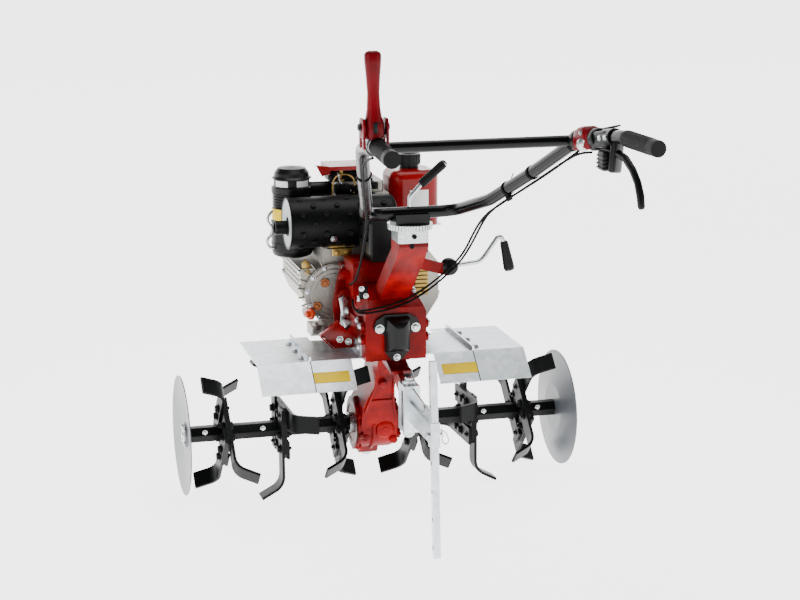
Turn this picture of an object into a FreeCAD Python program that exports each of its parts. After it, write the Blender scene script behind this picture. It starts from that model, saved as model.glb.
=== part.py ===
import FreeCAD, Part
import math
import os

V = FreeCAD.Vector

# A walk-behind garden tiller: a diesel engine in front, a gearbox behind it, a final drive leg
# down to the tine axle, a swivelling handlebar and a drag bar. Millimetres, +X is the machine's
# right, +Y is forwards, +Z is up. Everything is modelled with the tine axle at X = 0, Y = 0,
# and moved at the end so that the origin lies on the floor under the middle of its box.

# --- tine rotor ---
AXLE_Z = 200.0
TINE_TIP_H = 189.0
TINE_OFFSET = 50.0
TINE_ROOT = 70.0
TINE_WIDTH = 50.0
TINE_THICK = 8.0
TINE_BEND_R = 45.0
TINE_BEND_DEG = 62.0
TINE_BLADE = 45.0
HUB_PLATE_THICK = 8.0
HUB_PLATE_HALF = 74.0
HUB_CLIP = 14.0
HEX_BORE_R = 15.0
HEX_ACROSS_FLATS = 42.0
REEL_INNER_X = 78.0
REEL_OUTER_X = 548.0
SET_FIRST_X = 110.0
SET_PITCH_X = 167.0
DISC_R = 170.0
DISC_THICK = 3.0
DISC_DISH = 12.0
DISC_FLAT_R = 70.0
DISC_HUB_R = 34.0

# --- final drive ---
CASE_HALF_WIDTH = 58.0
CASE_R = 74.0
CASE_ROUND = 22.0
EAR_CIRCLE_R = 58.0
EAR_R = 12.0
LEG_HALF = 28.0
BEARING_CAP_R = 52.0
BEARING_CAP_T = 8.0
SHAFT_R = 16.0
SHAFT_CLEARANCE = 0.05
COLLAR_R = 30.0
RUNNING_GAP = 0.6
DRUM_WALL = 14.0
LEG_WALL = 10.0

# --- gearbox and clutch housing ---
GEARBOX_HALF = 86.0
GEARBOX_BOTTOM_Z = 445.0
GEARBOX_TOP_Z = 600.0
GEARBOX_REAR_Y = -246.0
GEARBOX_FRONT_Y = 0.0
SHOULDER_REAR_Y = -225.0
SHOULDER_REAR_Z = 612.0
SHOULDER_FRONT_Z = 640.0
CLUTCH_REAR_Y = -120.0
CLUTCH_HALF = GEARBOX_HALF + 4
CLUTCH_TOP_Z = 700.0
BELL_R = 108.0
BELL_LENGTH = 45.0
CRANK_Z = 575.0
GEARBOX_WALL = 14.0
GEARBOX_SIDE_WALL = 30.0
CLUTCH_WALL = 8.0
BELL_WALL = 20.0
FLANGE_PROUD = 14.0
FLANGE_THICK = 14.0
BOSS_R = 13.0

# --- column and swivel ---
SWIVEL_Y = -388.0
COLUMN_HALF = 40.0
COLUMN_DEPTH = 82.0
COLUMN_TOP_Z = 808.0
COLUMN_WALL = 6.0
BLOCK_HALF = 41.0
BLOCK_HEIGHT = 33.0
SWIVEL_GAP = 0.3
CLAMP_DISC_R = 60.0
CLAMP_DISC_T = 14.0
CLAMP_TEETH = 40
SADDLE_HALF = 46.0
SADDLE_DEPTH = 64.0
SADDLE_FLOOR = 11.0

# --- handlebar ---
TUBE_R = 16.0
TUBE_WALL = 3.0
BAR_HALF = 122.0
BAR_BEND_R = 62.0
ARM_POINTS = [(163.0, -567.0, 58.0), (211.0, -739.0, 149.0), (263.0, -931.0, 258.0)]
ARM_BEND_R = 160.0
GRIP_START = (285.0, -1154.0, 296.0)
GRIP_END = (298.0, -1330.0, 294.0)
CROSSBAR_R = 13.5
GRIP_R = 19.0
GRIP_WALL_GAP = 0.2
GRIP_CAP = 6.0

# --- battery box ---
BATTERY_TRAY = 24.0
BATTERY_HEIGHT = 108.0
BATTERY_MIDDLE_X = 33.0
BATTERY_WIDTH = 170.0
BATTERY_GAP = 6.0
BATTERY_GROOVE = 24.0

# --- engine ---
ENGINE_REAR_Y = GEARBOX_FRONT_Y + BELL_LENGTH
ENGINE_LENGTH = 255.0
CRANKCASE_TOP_Z = 705.0
CYLINDER_HALF = 76.0
CYLINDER_DEPTH = 140.0
CYLINDER_FRONT_GAP = 18.0
HEAD_OVERHANG = 4.0
CASE_WALL = 18.0
CASE_WEB = 20.0
CASE_WEB_X = 100.0
COVER_X = -110.0
COVER_Z = 580.0
COVER_R = 85.0
COVER_THICK = 14.0
FIN_PITCH = 11.0
FIN_THICK = 4.0
FIN_DEPTH = 14.0
SHEET_WALL = 3.0
CYLINDER_TOP_Z = 800.0
HEAD_TOP_Z = 878.0
GUARD_HEIGHT = 48.0
GUARD_LIP = 12.0
GUARD_POST = 12.0
FAN_DEPTH = 72.0
RECOIL_DEPTH = 40.0
RECOIL_R = 100.0
RAIL_HEIGHT = 30.0
RAIL_WALL = 3.5
BUMPER_R = 12.5
RAIL_WIDTH = 40.0
RAIL_X = 58.0
RAIL_REAR_Y = -15.0
RAIL_FRONT_Y = 415.0
FRONT_PLATE_DEPTH = 40.0
FRONT_BOLT_DX = 50.0
FRONT_BOLT_DY = 20.0
FRONT_BOLT_R = 4.5
MUFFLER_GAP = 25.0
MUFFLER_Z = 786.0
MUFFLER_R = 72.0
MUFFLER_EDGE_R = 14.0
MUFFLER_LEFT_X = -243.0
MUFFLER_RIGHT_X = 69.0
FILTER_X = -196.0
ELBOW_Z = 855.0
ELBOW_R = 22.0
MUFFLER_RECESS = 9.0
TANK_GAP = 4.0
TANK_WIDTH = 148.0
TANK_LENGTH = 140.0
TANK_FLOOR_Z = 745.0
TANK_TOP_Z = 906.0

# --- sheet metal ---
SHEET = 3.0
FENDER_TOP_Z = 447.0
FENDER_FLANGE_HIGH = 38.0
FENDER_REAR_Y = -208.0
FENDER_INNER_X = 118.0
FENDER_SEAM_X = 234.0
FENDER_END_X = 382.0
FENDER_FRONT_Y = 62.0
FLAP_REACH = 76.0
FLAP_DROP = 68.0
SEAM_HEIGHT = 12.0

# --- drag bar ---
HITCH_PIN_Y = -380.0
HITCH_PIN_R = 10.0
HITCH_BARREL_R = 17.0
HITCH_LOW_Z = 292.0
HITCH_HIGH_Z = 408.0
HITCH_SWING_R = 44.0
HITCH_ARM_HALF = 8.0
EAR_THICK = 6.0
CLEVIS_HALF = 22.0
CLEVIS_WALL = 4.0
CLEVIS_SLOT = 19.0
GUSSET_THICK = 5.0
ARM_BAND = 7.0
ARM_BAND_LOW_Z = 315.0
ARM_BAND_HIGH_Z = 371.0
DRAG_BAR_X = 5.0
DRAG_BAR_Y = -610.0
DRAG_BAR_RAKE_DEG = 5.0
DRAG_BAR_THICK = 18.0
DRAG_BAR_DEPTH = 20.0
DRAG_BAR_TOP_Z = 531.0
DRAG_HOLE_R = 5.5
DRAG_HOLES = 7
DRAG_HOLE_PITCH = 75.0
SLEEVE_PIN_Z = 338.0
SLEEVE_HEIGHT = 64.0
SLEEVE_WALL = 3.5


def box(x, y, z):
    """A block between two corners, each axis given as (low, high)."""
    return Part.makeBox(x[1] - x[0], y[1] - y[0], z[1] - z[0], V(x[0], y[0], z[0]))


def rod(start, end, radius):
    """A round bar between two points."""
    along = V(*end) - V(*start)
    return Part.makeCylinder(radius, along.Length, V(*start), along)


def prism(outline, depth):
    """A flat outline of points pushed along a vector."""
    corners = [V(*p) for p in outline]
    wire = Part.makePolygon(corners + corners[:1])
    return Part.Face(wire).extrude(V(*depth))


def side_prism(outline_yz, x_low, x_high):
    """An outline in the Y-Z plane, extruded across the machine."""
    return prism([(x_low, y, z) for y, z in outline_yz], (x_high - x_low, 0, 0))


def front_prism(outline_xz, y_low, y_high):
    """An outline in the X-Z plane, extruded along the machine."""
    return prism([(x, y_low, z) for x, z in outline_xz], (0, y_high - y_low, 0))


def inside_prism(outline, depth, wall):
    """The space inside a prism, a wall's thickness in from its outline."""
    corners = [V(*p) for p in outline]
    face = Part.Face(Part.makePolygon(corners + corners[:1]))
    return face.makeOffset2D(-wall, 2).extrude(V(*depth))


def mirrored(shape):
    """The same piece on the other side of the machine."""
    return shape.mirror(V(0, 0, 0), V(1, 0, 0))


def fused(shapes):
    """One solid out of overlapping ones, with leftover seams removed."""
    return shapes[0].multiFuse(shapes[1:]).removeSplitter()


def bent_path(points, radii):
    """Straight runs joined by tangent arcs: one wire for a bent tube."""
    points = [V(*p) for p in points]
    edges = []
    here = points[0]
    for corner, following, radius in zip(points[1:-1], points[2:], radii):
        arriving = (corner - here).normalize()
        leaving = (following - corner).normalize()
        turn = arriving.getAngle(leaving)
        setback = radius * math.tan(turn / 2)
        start = corner - arriving * setback
        end = corner + leaving * setback
        inward = (leaving - arriving).normalize()
        to_middle = radius / math.cos(turn / 2) - radius
        edges.append(Part.LineSegment(here, start).toShape())
        edges.append(Part.Arc(start, corner + inward * to_middle, end).toShape())
        here = end
    edges.append(Part.LineSegment(here, points[-1]).toShape())
    return Part.Wire(edges)


def bent_bar(points, radii, radius):
    """A round bar along straight runs and arcs."""
    path = bent_path(points, radii)
    first = V(*points[1]) - V(*points[0])
    section = Part.Wire(Part.makeCircle(radius, V(*points[0]), first))
    return path.makePipeShell([section], True, False)


def cable(points, radius):
    """A held cable: each arc as large as its two runs allow."""
    corners = [V(*p) for p in points]
    radii = []
    for before, corner, after in zip(corners, corners[1:], corners[2:]):
        runs = ((corner - before).Length, (after - corner).Length)
        turn = (corner - before).getAngle(after - corner)
        radii.append(0.45 * min(runs) / math.tan(turn / 2))
    print("cable arcs, mm:", [round(r) for r in radii])
    return bent_bar(points, radii, radius)


nodes = {}


# --- tine rotor -------------------------------------------------------------------------------

# The blade's path in the plane of the axle and the tine: a stem along the radius, a bend towards
# the side, a straight blade. The stem's length follows from the height of the tip.
BEND = math.radians(TINE_BEND_DEG)
BLADE_RISE = TINE_BEND_R * math.sin(BEND) + TINE_BLADE * math.cos(BEND)
STEM_END = TINE_TIP_H - BLADE_RISE - TINE_THICK / 2 * math.sin(BEND)

# The machine stands on the inner tip corners of the tines that point down and on the outer ones
# of the tines half a quarter further on, so the rotor is turned until both are equally low.
TIP_NEAR = TINE_OFFSET - TINE_WIDTH / 2
TIP_FAR = TINE_OFFSET + TINE_WIDTH / 2
FAR_R = math.hypot(TINE_TIP_H, TIP_FAR)
FAR_ANGLE = math.radians(45) - math.atan2(TIP_FAR, TINE_TIP_H)
STANCE_TURN = math.atan2(
    TINE_TIP_H - FAR_R * math.cos(FAR_ANGLE), FAR_R * math.sin(FAR_ANGLE) + TIP_NEAR,
)
FLOOR_Z = AXLE_Z - TINE_TIP_H * math.cos(STANCE_TURN) + TIP_NEAR * math.sin(STANCE_TURN)


def tine(plate_x, angle_deg, side):
    """One bent flat-steel tine along one edge of its hub plate: its blade turns to side +1 or -1."""
    half = TINE_THICK / 2
    inner = TINE_BEND_R - half
    outer = TINE_BEND_R + half
    centre_x = TINE_BEND_R

    def on_arc(radius, angle):
        return (centre_x - radius * math.cos(angle), STEM_END + radius * math.sin(angle))

    def ahead(point):
        return (point[0] + TINE_BLADE * math.sin(BEND), point[1] + TINE_BLADE * math.cos(BEND))

    outside = [(-half, -TINE_ROOT), (-half, STEM_END), on_arc(outer, BEND)]
    inside = [on_arc(inner, BEND), (half, STEM_END), (half, -TINE_ROOT)]
    tips = [ahead(outside[2]), ahead(inside[0])]

    def place(point):
        return V(point[0], TIP_NEAR, point[1])

    edges = [
        Part.LineSegment(place(outside[0]), place(outside[1])).toShape(),
        Part.Arc(place(outside[1]), place(on_arc(outer, BEND / 2)), place(outside[2])).toShape(),
        Part.LineSegment(place(outside[2]), place(tips[0])).toShape(),
        Part.LineSegment(place(tips[0]), place(tips[1])).toShape(),
        Part.LineSegment(place(tips[1]), place(inside[0])).toShape(),
        Part.Arc(place(inside[0]), place(on_arc(inner, BEND / 2)), place(inside[1])).toShape(),
        Part.LineSegment(place(inside[1]), place(inside[2])).toShape(),
        Part.LineSegment(place(inside[2]), place(outside[0])).toShape(),
    ]
    blade = Part.Face(Part.Wire(edges)).extrude(V(0, TINE_WIDTH, 0))
    if side < 0:
        blade = mirrored(blade)
    blade.translate(V(side * (HUB_PLATE_THICK + TINE_THICK) / 2, 0, 0))
    blade.rotate(V(0, 0, 0), V(1, 0, 0), angle_deg - 90)
    blade.translate(V(plate_x, 0, AXLE_Z))
    return blade


def hub_plate(plate_x, phase_deg):
    """The square plate, its corners clipped, that carries four tines."""
    half = HUB_PLATE_HALF
    clip = half - HUB_CLIP
    outline = [(clip, half), (half, clip), (half, -clip), (clip, -half),
               (-clip, -half), (-half, -clip), (-half, clip), (-clip, half)]
    plate = side_prism(outline, -HUB_PLATE_THICK / 2, HUB_PLATE_THICK / 2)
    plate.rotate(V(0, 0, 0), V(1, 0, 0), phase_deg)
    plate.translate(V(plate_x, 0, AXLE_Z))
    return plate


def hex_tube(x_low, x_high):
    """The six-sided carrier tube."""
    corner_r = HEX_ACROSS_FLATS / math.sqrt(3)
    corners = []
    for k in range(6):
        turn = math.radians(60 * k)
        corners.append((x_low, corner_r * math.cos(turn), AXLE_Z + corner_r * math.sin(turn)))
    return prism(corners, (x_high - x_low, 0, 0))


def reel(sets, x_low, x_high):
    """A hex tube with its tine sets, one solid. Each set is (x, phase, sides of its 4 tines)."""
    pieces = [hex_tube(x_low, x_high)]
    for x, phase, sides in sets:
        turned = phase - math.degrees(STANCE_TURN)
        pieces.append(hub_plate(x, turned))
        for quarter, side in enumerate(sides):
            pieces.append(tine(x, turned + 90 * quarter, side))
    bore = rod((x_low, 0, AXLE_Z), (x_high, 0, AXLE_Z), HEX_BORE_R)
    return fused(pieces).cut(bore)


# Tine angles run from 0 at +Y through 90 at the top; the sides are the way each blade turns.
SET_X = [SET_FIRST_X + SET_PITCH_X * k for k in range(3)]
RIGHT_FIRST = (1, -1, 1, -1)
LEFT_FIRST = (-1, 1, -1, 1)
nodes["left_tine_reel"] = reel(
    [(-SET_X[2], 45, RIGHT_FIRST), (-SET_X[1], 0, RIGHT_FIRST), (-SET_X[0], 45, LEFT_FIRST)],
    -REEL_OUTER_X,
    -REEL_INNER_X,
)
nodes["right_tine_reel"] = reel(
    [(SET_X[0], 45, RIGHT_FIRST), (SET_X[1], 0, LEFT_FIRST), (SET_X[2], 45, LEFT_FIRST)],
    REEL_INNER_X,
    REEL_OUTER_X,
)


def side_disc():
    """The dished plant-protection disc with its hub boss, at the right end."""
    x = REEL_OUTER_X
    rim = x + DISC_DISH
    profile = [
        (x, 0), (x + 8, 0), (x + 8, DISC_HUB_R), (x + DISC_THICK, DISC_HUB_R + 5),
        (x + DISC_THICK, DISC_FLAT_R), (rim + DISC_THICK, DISC_R), (rim, DISC_R), (x, DISC_FLAT_R),
    ]
    wire = Part.makePolygon([V(a, 0, b) for a, b in profile + profile[:1]])
    disc = Part.Face(wire).revolve(V(0, 0, 0), V(1, 0, 0), 360)
    disc.translate(V(0, 0, AXLE_Z))
    return disc


nodes["right_disc"] = side_disc()
nodes["left_disc"] = mirrored(side_disc())


def axle_shaft():
    """The output shaft of the final drive with a collar at each end."""
    shaft = rod((-REEL_INNER_X, 0, AXLE_Z), (REEL_INNER_X, 0, AXLE_Z), SHAFT_R)
    collar_start = CASE_HALF_WIDTH + BEARING_CAP_T + RUNNING_GAP
    collars = []
    for side in (-1, 1):
        ends = (side * collar_start, 0, AXLE_Z), (side * REEL_INNER_X, 0, AXLE_Z)
        collars.append(rod(ends[0], ends[1], COLLAR_R))
    return fused([shaft] + collars)


nodes["axle_shaft"] = axle_shaft()


# --- final drive, gearbox, clutch housing -----------------------------------------------------

def final_drive_case():
    """The cast case around the axle and its leg up to the gearbox."""
    half = CASE_HALF_WIDTH
    drum = rod((-half, 0, AXLE_Z), (half, 0, AXLE_Z), CASE_R)
    leg_outline = [
        (-CASE_R, AXLE_Z), (-165, GEARBOX_BOTTOM_Z), (-40, GEARBOX_BOTTOM_Z), (CASE_R - 4, AXLE_Z + 20),
    ]
    leg = side_prism(leg_outline, -half, half)
    seen_from_behind = front_prism(
        [(-half, AXLE_Z - 48), (CASE_ROUND - half, AXLE_Z - 80), (half - 8 - CASE_ROUND, AXLE_Z - 80),
         (half - 8, AXLE_Z - 46), (half - 8, AXLE_Z + 22),
         (LEG_HALF + 6, AXLE_Z + 74),
         (LEG_HALF, AXLE_Z + 130), (LEG_HALF, GEARBOX_BOTTOM_Z), (-LEG_HALF, GEARBOX_BOTTOM_Z),
         (-LEG_HALF - 4, AXLE_Z + 136), (-half, AXLE_Z + 70)],
        -200, 100,
    )
    casting = drum.fuse(leg).removeSplitter().common(seen_from_behind)
    flange_half = LEG_HALF + 34
    flange = box((-flange_half, flange_half), (-190, -20), (GEARBOX_BOTTOM_Z - 14, GEARBOX_BOTTOM_Z))
    sump_top = AXLE_Z - CASE_R + 14
    sump_low = AXLE_Z - CASE_R - 12
    sump = side_prism([(-40, sump_top), (-22, sump_low), (18, sump_low), (36, sump_top)], -52, 2)
    caps = []
    for side in (-1, 1):
        ends = (side * (half - 10), 0, AXLE_Z), (side * (half + BEARING_CAP_T), 0, AXLE_Z)
        caps.append(rod(ends[0], ends[1], BEARING_CAP_R))
        for k in range(6):
            turn = math.radians(30 + 60 * k)
            y = EAR_CIRCLE_R * math.cos(turn)
            z = AXLE_Z + EAR_CIRCLE_R * math.sin(turn)
            caps.append(rod((side * (half - 24), y, z), (side * (half + 3), y, z), EAR_R))
    case = fused([casting, flange, sump] + caps)
    bore = rod((-2 * half, 0, AXLE_Z), (2 * half, 0, AXLE_Z), SHAFT_R + SHAFT_CLEARANCE)
    chamber_half = half - DRUM_WALL - 8
    chamber = rod((-chamber_half, 0, AXLE_Z), (chamber_half, 0, AXLE_Z), CASE_R - DRUM_WALL)
    shaft_way = inside_prism(
        [(LEG_WALL - LEG_HALF, y, z) for y, z in leg_outline], (2 * (LEG_HALF - LEG_WALL), 0, 0), LEG_WALL,
    )
    mouth = box((-14, 14), (-130, -60), (GEARBOX_BOTTOM_Z - 40, GEARBOX_BOTTOM_Z + 1))
    return case.cut([bore, chamber, shaft_way, mouth])


nodes["final_drive_case"] = final_drive_case()


def shoulder_z(y):
    """Height of the gearbox's sloping shoulder."""
    slope = (SHOULDER_FRONT_Z - SHOULDER_REAR_Z) / (CLUTCH_REAR_Y - SHOULDER_REAR_Y)
    return SHOULDER_REAR_Z + slope * (y - SHOULDER_REAR_Y)


def gearbox_case():
    """The main gearbox: a flat rear face, sloping shoulders, ribs and a lid flange."""
    outline = [
        (GEARBOX_REAR_Y, GEARBOX_BOTTOM_Z), (GEARBOX_REAR_Y, SHOULDER_REAR_Z - 20),
        (SHOULDER_REAR_Y, SHOULDER_REAR_Z), (CLUTCH_REAR_Y, SHOULDER_FRONT_Z),
        (CLUTCH_REAR_Y, GEARBOX_TOP_Z), (GEARBOX_FRONT_Y, GEARBOX_TOP_Z),
        (GEARBOX_FRONT_Y, GEARBOX_BOTTOM_Z),
    ]
    body = side_prism(outline, -GEARBOX_HALF, GEARBOX_HALF)
    cheek = GEARBOX_HALF - 26
    for side in (-1, 1):
        edge = side * GEARBOX_HALF
        corner = prism(
            [(edge, GEARBOX_REAR_Y - 1, SHOULDER_REAR_Z - 35),
             (edge, GEARBOX_REAR_Y - 1, SHOULDER_FRONT_Z + 1),
             (side * cheek, GEARBOX_REAR_Y - 1, SHOULDER_FRONT_Z + 1)],
            (0, CLUTCH_REAR_Y - GEARBOX_REAR_Y + 1, 0),
        )
        body = body.cut(corner)
    reach = GEARBOX_HALF + FLANGE_PROUD
    fender_high = FENDER_TOP_Z + FENDER_FLANGE_HIGH
    flange = box(
        (-reach, reach), (GEARBOX_FRONT_Y - FLANGE_THICK, GEARBOX_FRONT_Y), (fender_high + 2, GEARBOX_TOP_Z),
    )
    cover_low = fender_high + BOSS_R + 4
    cover_high = SHOULDER_REAR_Z - 62
    cover_outline = [
        (GEARBOX_REAR_Y + 22, cover_low), (GEARBOX_REAR_Y + 22, cover_high - 10),
        (SHOULDER_REAR_Y + 30, cover_high), (CLUTCH_REAR_Y + 40, cover_high),
        (GEARBOX_FRONT_Y - 40, cover_low + 24), (GEARBOX_FRONT_Y - 40, cover_low),
    ]
    extras = [flange]
    for side in (-1, 1):
        face = side * (GEARBOX_HALF - 1)
        proud = side * (GEARBOX_HALF + 7)
        extras.append(side_prism(cover_outline, min(face, proud), max(face, proud)))
        for y, z in cover_outline:
            extras.append(rod((face, y, z), (proud + side * 3, y, z), BOSS_R))
        for z in (cover_low - 6, GEARBOX_TOP_Z - 24):
            rib = [(GEARBOX_FRONT_Y - FLANGE_THICK, z - 5), (GEARBOX_FRONT_Y - FLANGE_THICK, z + 5),
                   (GEARBOX_FRONT_Y - 70, z + 5), (GEARBOX_FRONT_Y - 70, z - 5)]
            extras.append(side_prism(rib, min(face, proud), max(face, proud)))
    body = fused([body] + extras)
    room = GEARBOX_HALF - GEARBOX_SIDE_WALL
    inside = inside_prism([(-room, y, z) for y, z in outline], (2 * room, 0, 0), GEARBOX_WALL)
    mouth = rod((0, GEARBOX_FRONT_Y - 2 * GEARBOX_WALL, CRANK_Z), (0, GEARBOX_FRONT_Y, CRANK_Z), 12)
    return body.cut([inside, mouth])


nodes["gearbox_case"] = gearbox_case()


def clutch_housing():
    """The upper housing and the bell flange that carries the engine."""
    reach = GEARBOX_HALF + FLANGE_PROUD
    body = box((-CLUTCH_HALF, CLUTCH_HALF), (CLUTCH_REAR_Y, GEARBOX_FRONT_Y), (GEARBOX_TOP_Z, CLUTCH_TOP_Z))
    flange_high = CLUTCH_TOP_Z - 24
    before = (GEARBOX_FRONT_Y - FLANGE_THICK, GEARBOX_FRONT_Y)
    flange = box((-reach, reach), before, (GEARBOX_TOP_Z, flange_high))
    behind = (GEARBOX_FRONT_Y, GEARBOX_FRONT_Y + FLANGE_THICK)
    mate = box((-reach, reach), behind, (FENDER_TOP_Z + FENDER_FLANGE_HIGH + 2, flange_high))
    body = body.makeFillet(18, [e for e in body.Edges if abs(e.CenterOfMass.z - CLUTCH_TOP_Z) < 1])
    bell = rod((0, GEARBOX_FRONT_Y, CRANK_Z), (0, ENGINE_REAR_Y, CRANK_Z), BELL_R)
    wall = CLUTCH_WALL
    inside = box((wall - CLUTCH_HALF, CLUTCH_HALF - wall), (CLUTCH_REAR_Y + wall, GEARBOX_FRONT_Y - wall),
                 (GEARBOX_TOP_Z - 1, CLUTCH_TOP_Z - wall))
    room = rod((0, GEARBOX_FRONT_Y + wall, CRANK_Z), (0, ENGINE_REAR_Y, CRANK_Z), BELL_R - BELL_WALL)
    return fused([body, flange, mate, bell]).cut([inside, room])


nodes["clutch_housing"] = clutch_housing()


def pto_cap():
    """The black cover of the power take-off on the gearbox's rear face."""
    ears = [(-66, 540), (-58, 562), (-34, 576), (34, 576), (58, 562), (66, 540), (56, 526), (34, 520),
            (33, 470), (12, 446), (-12, 446), (-33, 470), (-34, 520), (-56, 526)]
    plate = front_prism(ears, GEARBOX_REAR_Y - 10, GEARBOX_REAR_Y)
    plate = plate.makeFillet(6, [e for e in plate.Edges if abs(e.tangentAt(e.FirstParameter).y) > 0.9])
    hood = box((-33, 33), (GEARBOX_REAR_Y - 46, GEARBOX_REAR_Y - 4), (474, 568))
    hood = hood.makeFillet(26, [e for e in hood.Edges if e.CenterOfMass.y < GEARBOX_REAR_Y - 45])
    return fused([plate, hood])


nodes["pto_cap"] = pto_cap()


# --- handlebar column -------------------------------------------------------------------------

COLUMN_REAR_Y = SWIVEL_Y - COLUMN_DEPTH / 2
COLUMN_FRONT_Y = SWIVEL_Y + COLUMN_DEPTH / 2


def handlebar_column():
    """The box-section column that leans back from the gearbox's shoulder."""
    foot_front_y = SHOULDER_REAR_Y + 62
    outline = [
        (SHOULDER_REAR_Y, SHOULDER_REAR_Z), (COLUMN_REAR_Y + 30, COLUMN_TOP_Z - 46),
        (COLUMN_REAR_Y, COLUMN_TOP_Z - 10), (COLUMN_REAR_Y, COLUMN_TOP_Z), (COLUMN_FRONT_Y, COLUMN_TOP_Z),
        (COLUMN_FRONT_Y, COLUMN_TOP_Z - 26), (foot_front_y, shoulder_z(foot_front_y)),
    ]
    room = COLUMN_HALF - COLUMN_WALL
    inside = inside_prism([(-room, y, z) for y, z in outline], (2 * room, 0, 0), COLUMN_WALL)
    bolt_hole = rod((0, SWIVEL_Y, COLUMN_TOP_Z - 2 * COLUMN_WALL), (0, SWIVEL_Y, COLUMN_TOP_Z), 9)
    return side_prism(outline, -COLUMN_HALF, COLUMN_HALF).cut([inside, bolt_hole])


nodes["handlebar_column"] = handlebar_column()

BLOCK_TOP_Z = COLUMN_TOP_Z + BLOCK_HEIGHT
DISC_LOW_Z = BLOCK_TOP_Z + SWIVEL_GAP
DISC_HIGH_Z = DISC_LOW_Z + CLAMP_DISC_T
BAR_Z = DISC_HIGH_Z + SADDLE_FLOOR + TUBE_R


def clamp_block():
    """The lower half of the swivel clamp, bolted on the column."""
    depth = (COLUMN_REAR_Y - 3, COLUMN_FRONT_Y + 3)
    block = box((-BLOCK_HALF, BLOCK_HALF), depth, (COLUMN_TOP_Z, BLOCK_TOP_Z))
    return block.makeFillet(10, [e for e in block.Edges if abs(e.tangentAt(e.FirstParameter).z) > 0.9])


nodes["clamp_block"] = clamp_block()


def clamp_disc():
    """The toothed disc of the swivel clamp, on the handlebar's side."""
    disc = Part.makeCylinder(CLAMP_DISC_R, CLAMP_DISC_T, V(0, SWIVEL_Y, DISC_LOW_Z))
    notches = []
    for k in range(CLAMP_TEETH):
        notch = box((CLAMP_DISC_R - 5, CLAMP_DISC_R + 5), (-1.6, 1.6), (-1, CLAMP_DISC_T + 1))
        notch.rotate(V(0, 0, 0), V(0, 0, 1), 360 * k / CLAMP_TEETH)
        notch.translate(V(0, SWIVEL_Y, DISC_LOW_Z))
        notches.append(notch)
    return disc.cut(notches)


nodes["clamp_disc"] = clamp_disc()


def handlebar_saddle():
    """The saddle that grips the handlebar's cross part."""
    depth = SADDLE_DEPTH / 2
    saddle = box((-SADDLE_HALF, SADDLE_HALF), (SWIVEL_Y - depth, SWIVEL_Y + depth), (DISC_HIGH_Z, BAR_Z))
    groove = rod((-BAR_HALF, SWIVEL_Y, BAR_Z), (BAR_HALF, SWIVEL_Y, BAR_Z), TUBE_R + GRIP_WALL_GAP)
    return saddle.cut(groove)


nodes["handlebar_saddle"] = handlebar_saddle()


# --- handlebar --------------------------------------------------------------------------------

def on_bar(point):
    """A handlebar point given by its height over the cross part."""
    return (point[0], point[1], BAR_Z + point[2])


def opposite(point):
    return (-point[0], point[1], point[2])


RIGHT_ARM = [on_bar(p) for p in ARM_POINTS + [GRIP_START, GRIP_END]]


def handlebar_tube(radius):
    """One bent tube from grip to grip."""
    right = [(BAR_HALF, SWIVEL_Y, BAR_Z)] + RIGHT_ARM
    left = [opposite(p) for p in reversed(right)]
    radii_right = [BAR_BEND_R, ARM_BEND_R, ARM_BEND_R, ARM_BEND_R, ARM_BEND_R]
    return bent_bar(left + right, list(reversed(radii_right)) + radii_right, radius)


nodes["handlebar_tube"] = handlebar_tube(TUBE_R).cut(handlebar_tube(TUBE_R - TUBE_WALL))
BAR_SPACE = handlebar_tube(TUBE_R + GRIP_WALL_GAP)


def along(a, b, share):
    """The point at a share of the way from a to b."""
    return tuple(p + (q - p) * share for p, q in zip(a, b))


def crossbar():
    """The stiffener between the arms, with its ends cut to the tubes."""
    end = along(RIGHT_ARM[1], RIGHT_ARM[2], 0.92)
    end = (end[0], end[1], end[2] + 6)
    bar = rod(opposite(end), end, CROSSBAR_R)
    return bar.cut([BAR_SPACE, rod(opposite(end), end, CROSSBAR_R - TUBE_WALL)])


nodes["handlebar_crossbar"] = crossbar()


def grip(side):
    """A grip sleeve closed at its end, over the tube's last stretch."""
    start = V(*RIGHT_ARM[3])
    end = V(*RIGHT_ARM[4])
    way = (end - start).normalize()
    mouth = start + way * 26
    sleeve = Part.makeCylinder(GRIP_R, (end - mouth).Length + GRIP_CAP, mouth, way)
    bore = Part.makeCylinder(TUBE_R + GRIP_WALL_GAP, (end - mouth).Length, mouth, way)
    shape = sleeve.cut(bore)
    return shape if side > 0 else mirrored(shape)


nodes["right_grip"] = grip(1)
nodes["left_grip"] = grip(-1)


def clutch_lever():
    """The tall red lever that stands on the left arm."""
    base = V(*opposite(RIGHT_ARM[3])) + V(-5, 4, TUBE_R + 0.3)
    stations = [(0, 20), (24, 24), (62, 12), (110, 11), (150, 15), (180, 16), (191, 10)]
    wires = []
    for height, half in stations:
        lean = height * 0.06
        centre = base + V(0, lean, height)
        ellipse = Part.Ellipse(centre, half * 1.3, half)
        wires.append(Part.Wire(ellipse.toShape()))
    return Part.makeLoft(wires, True, False)


nodes["clutch_lever"] = clutch_lever()


def throttle_block():
    """The red switch and throttle housing clamped on the right arm."""
    at = along(RIGHT_ARM[2], RIGHT_ARM[3], 0.25)
    low = at[2] - 24
    high = at[2] + 32
    housing = box((at[0] - 26, at[0] + 30), (at[1] - 42, at[1] + 42), (low, high))
    housing = housing.makeFillet(8, [e for e in housing.Edges if e.CenterOfMass.z > high - 1])
    return housing.cut(BAR_SPACE)


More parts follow.
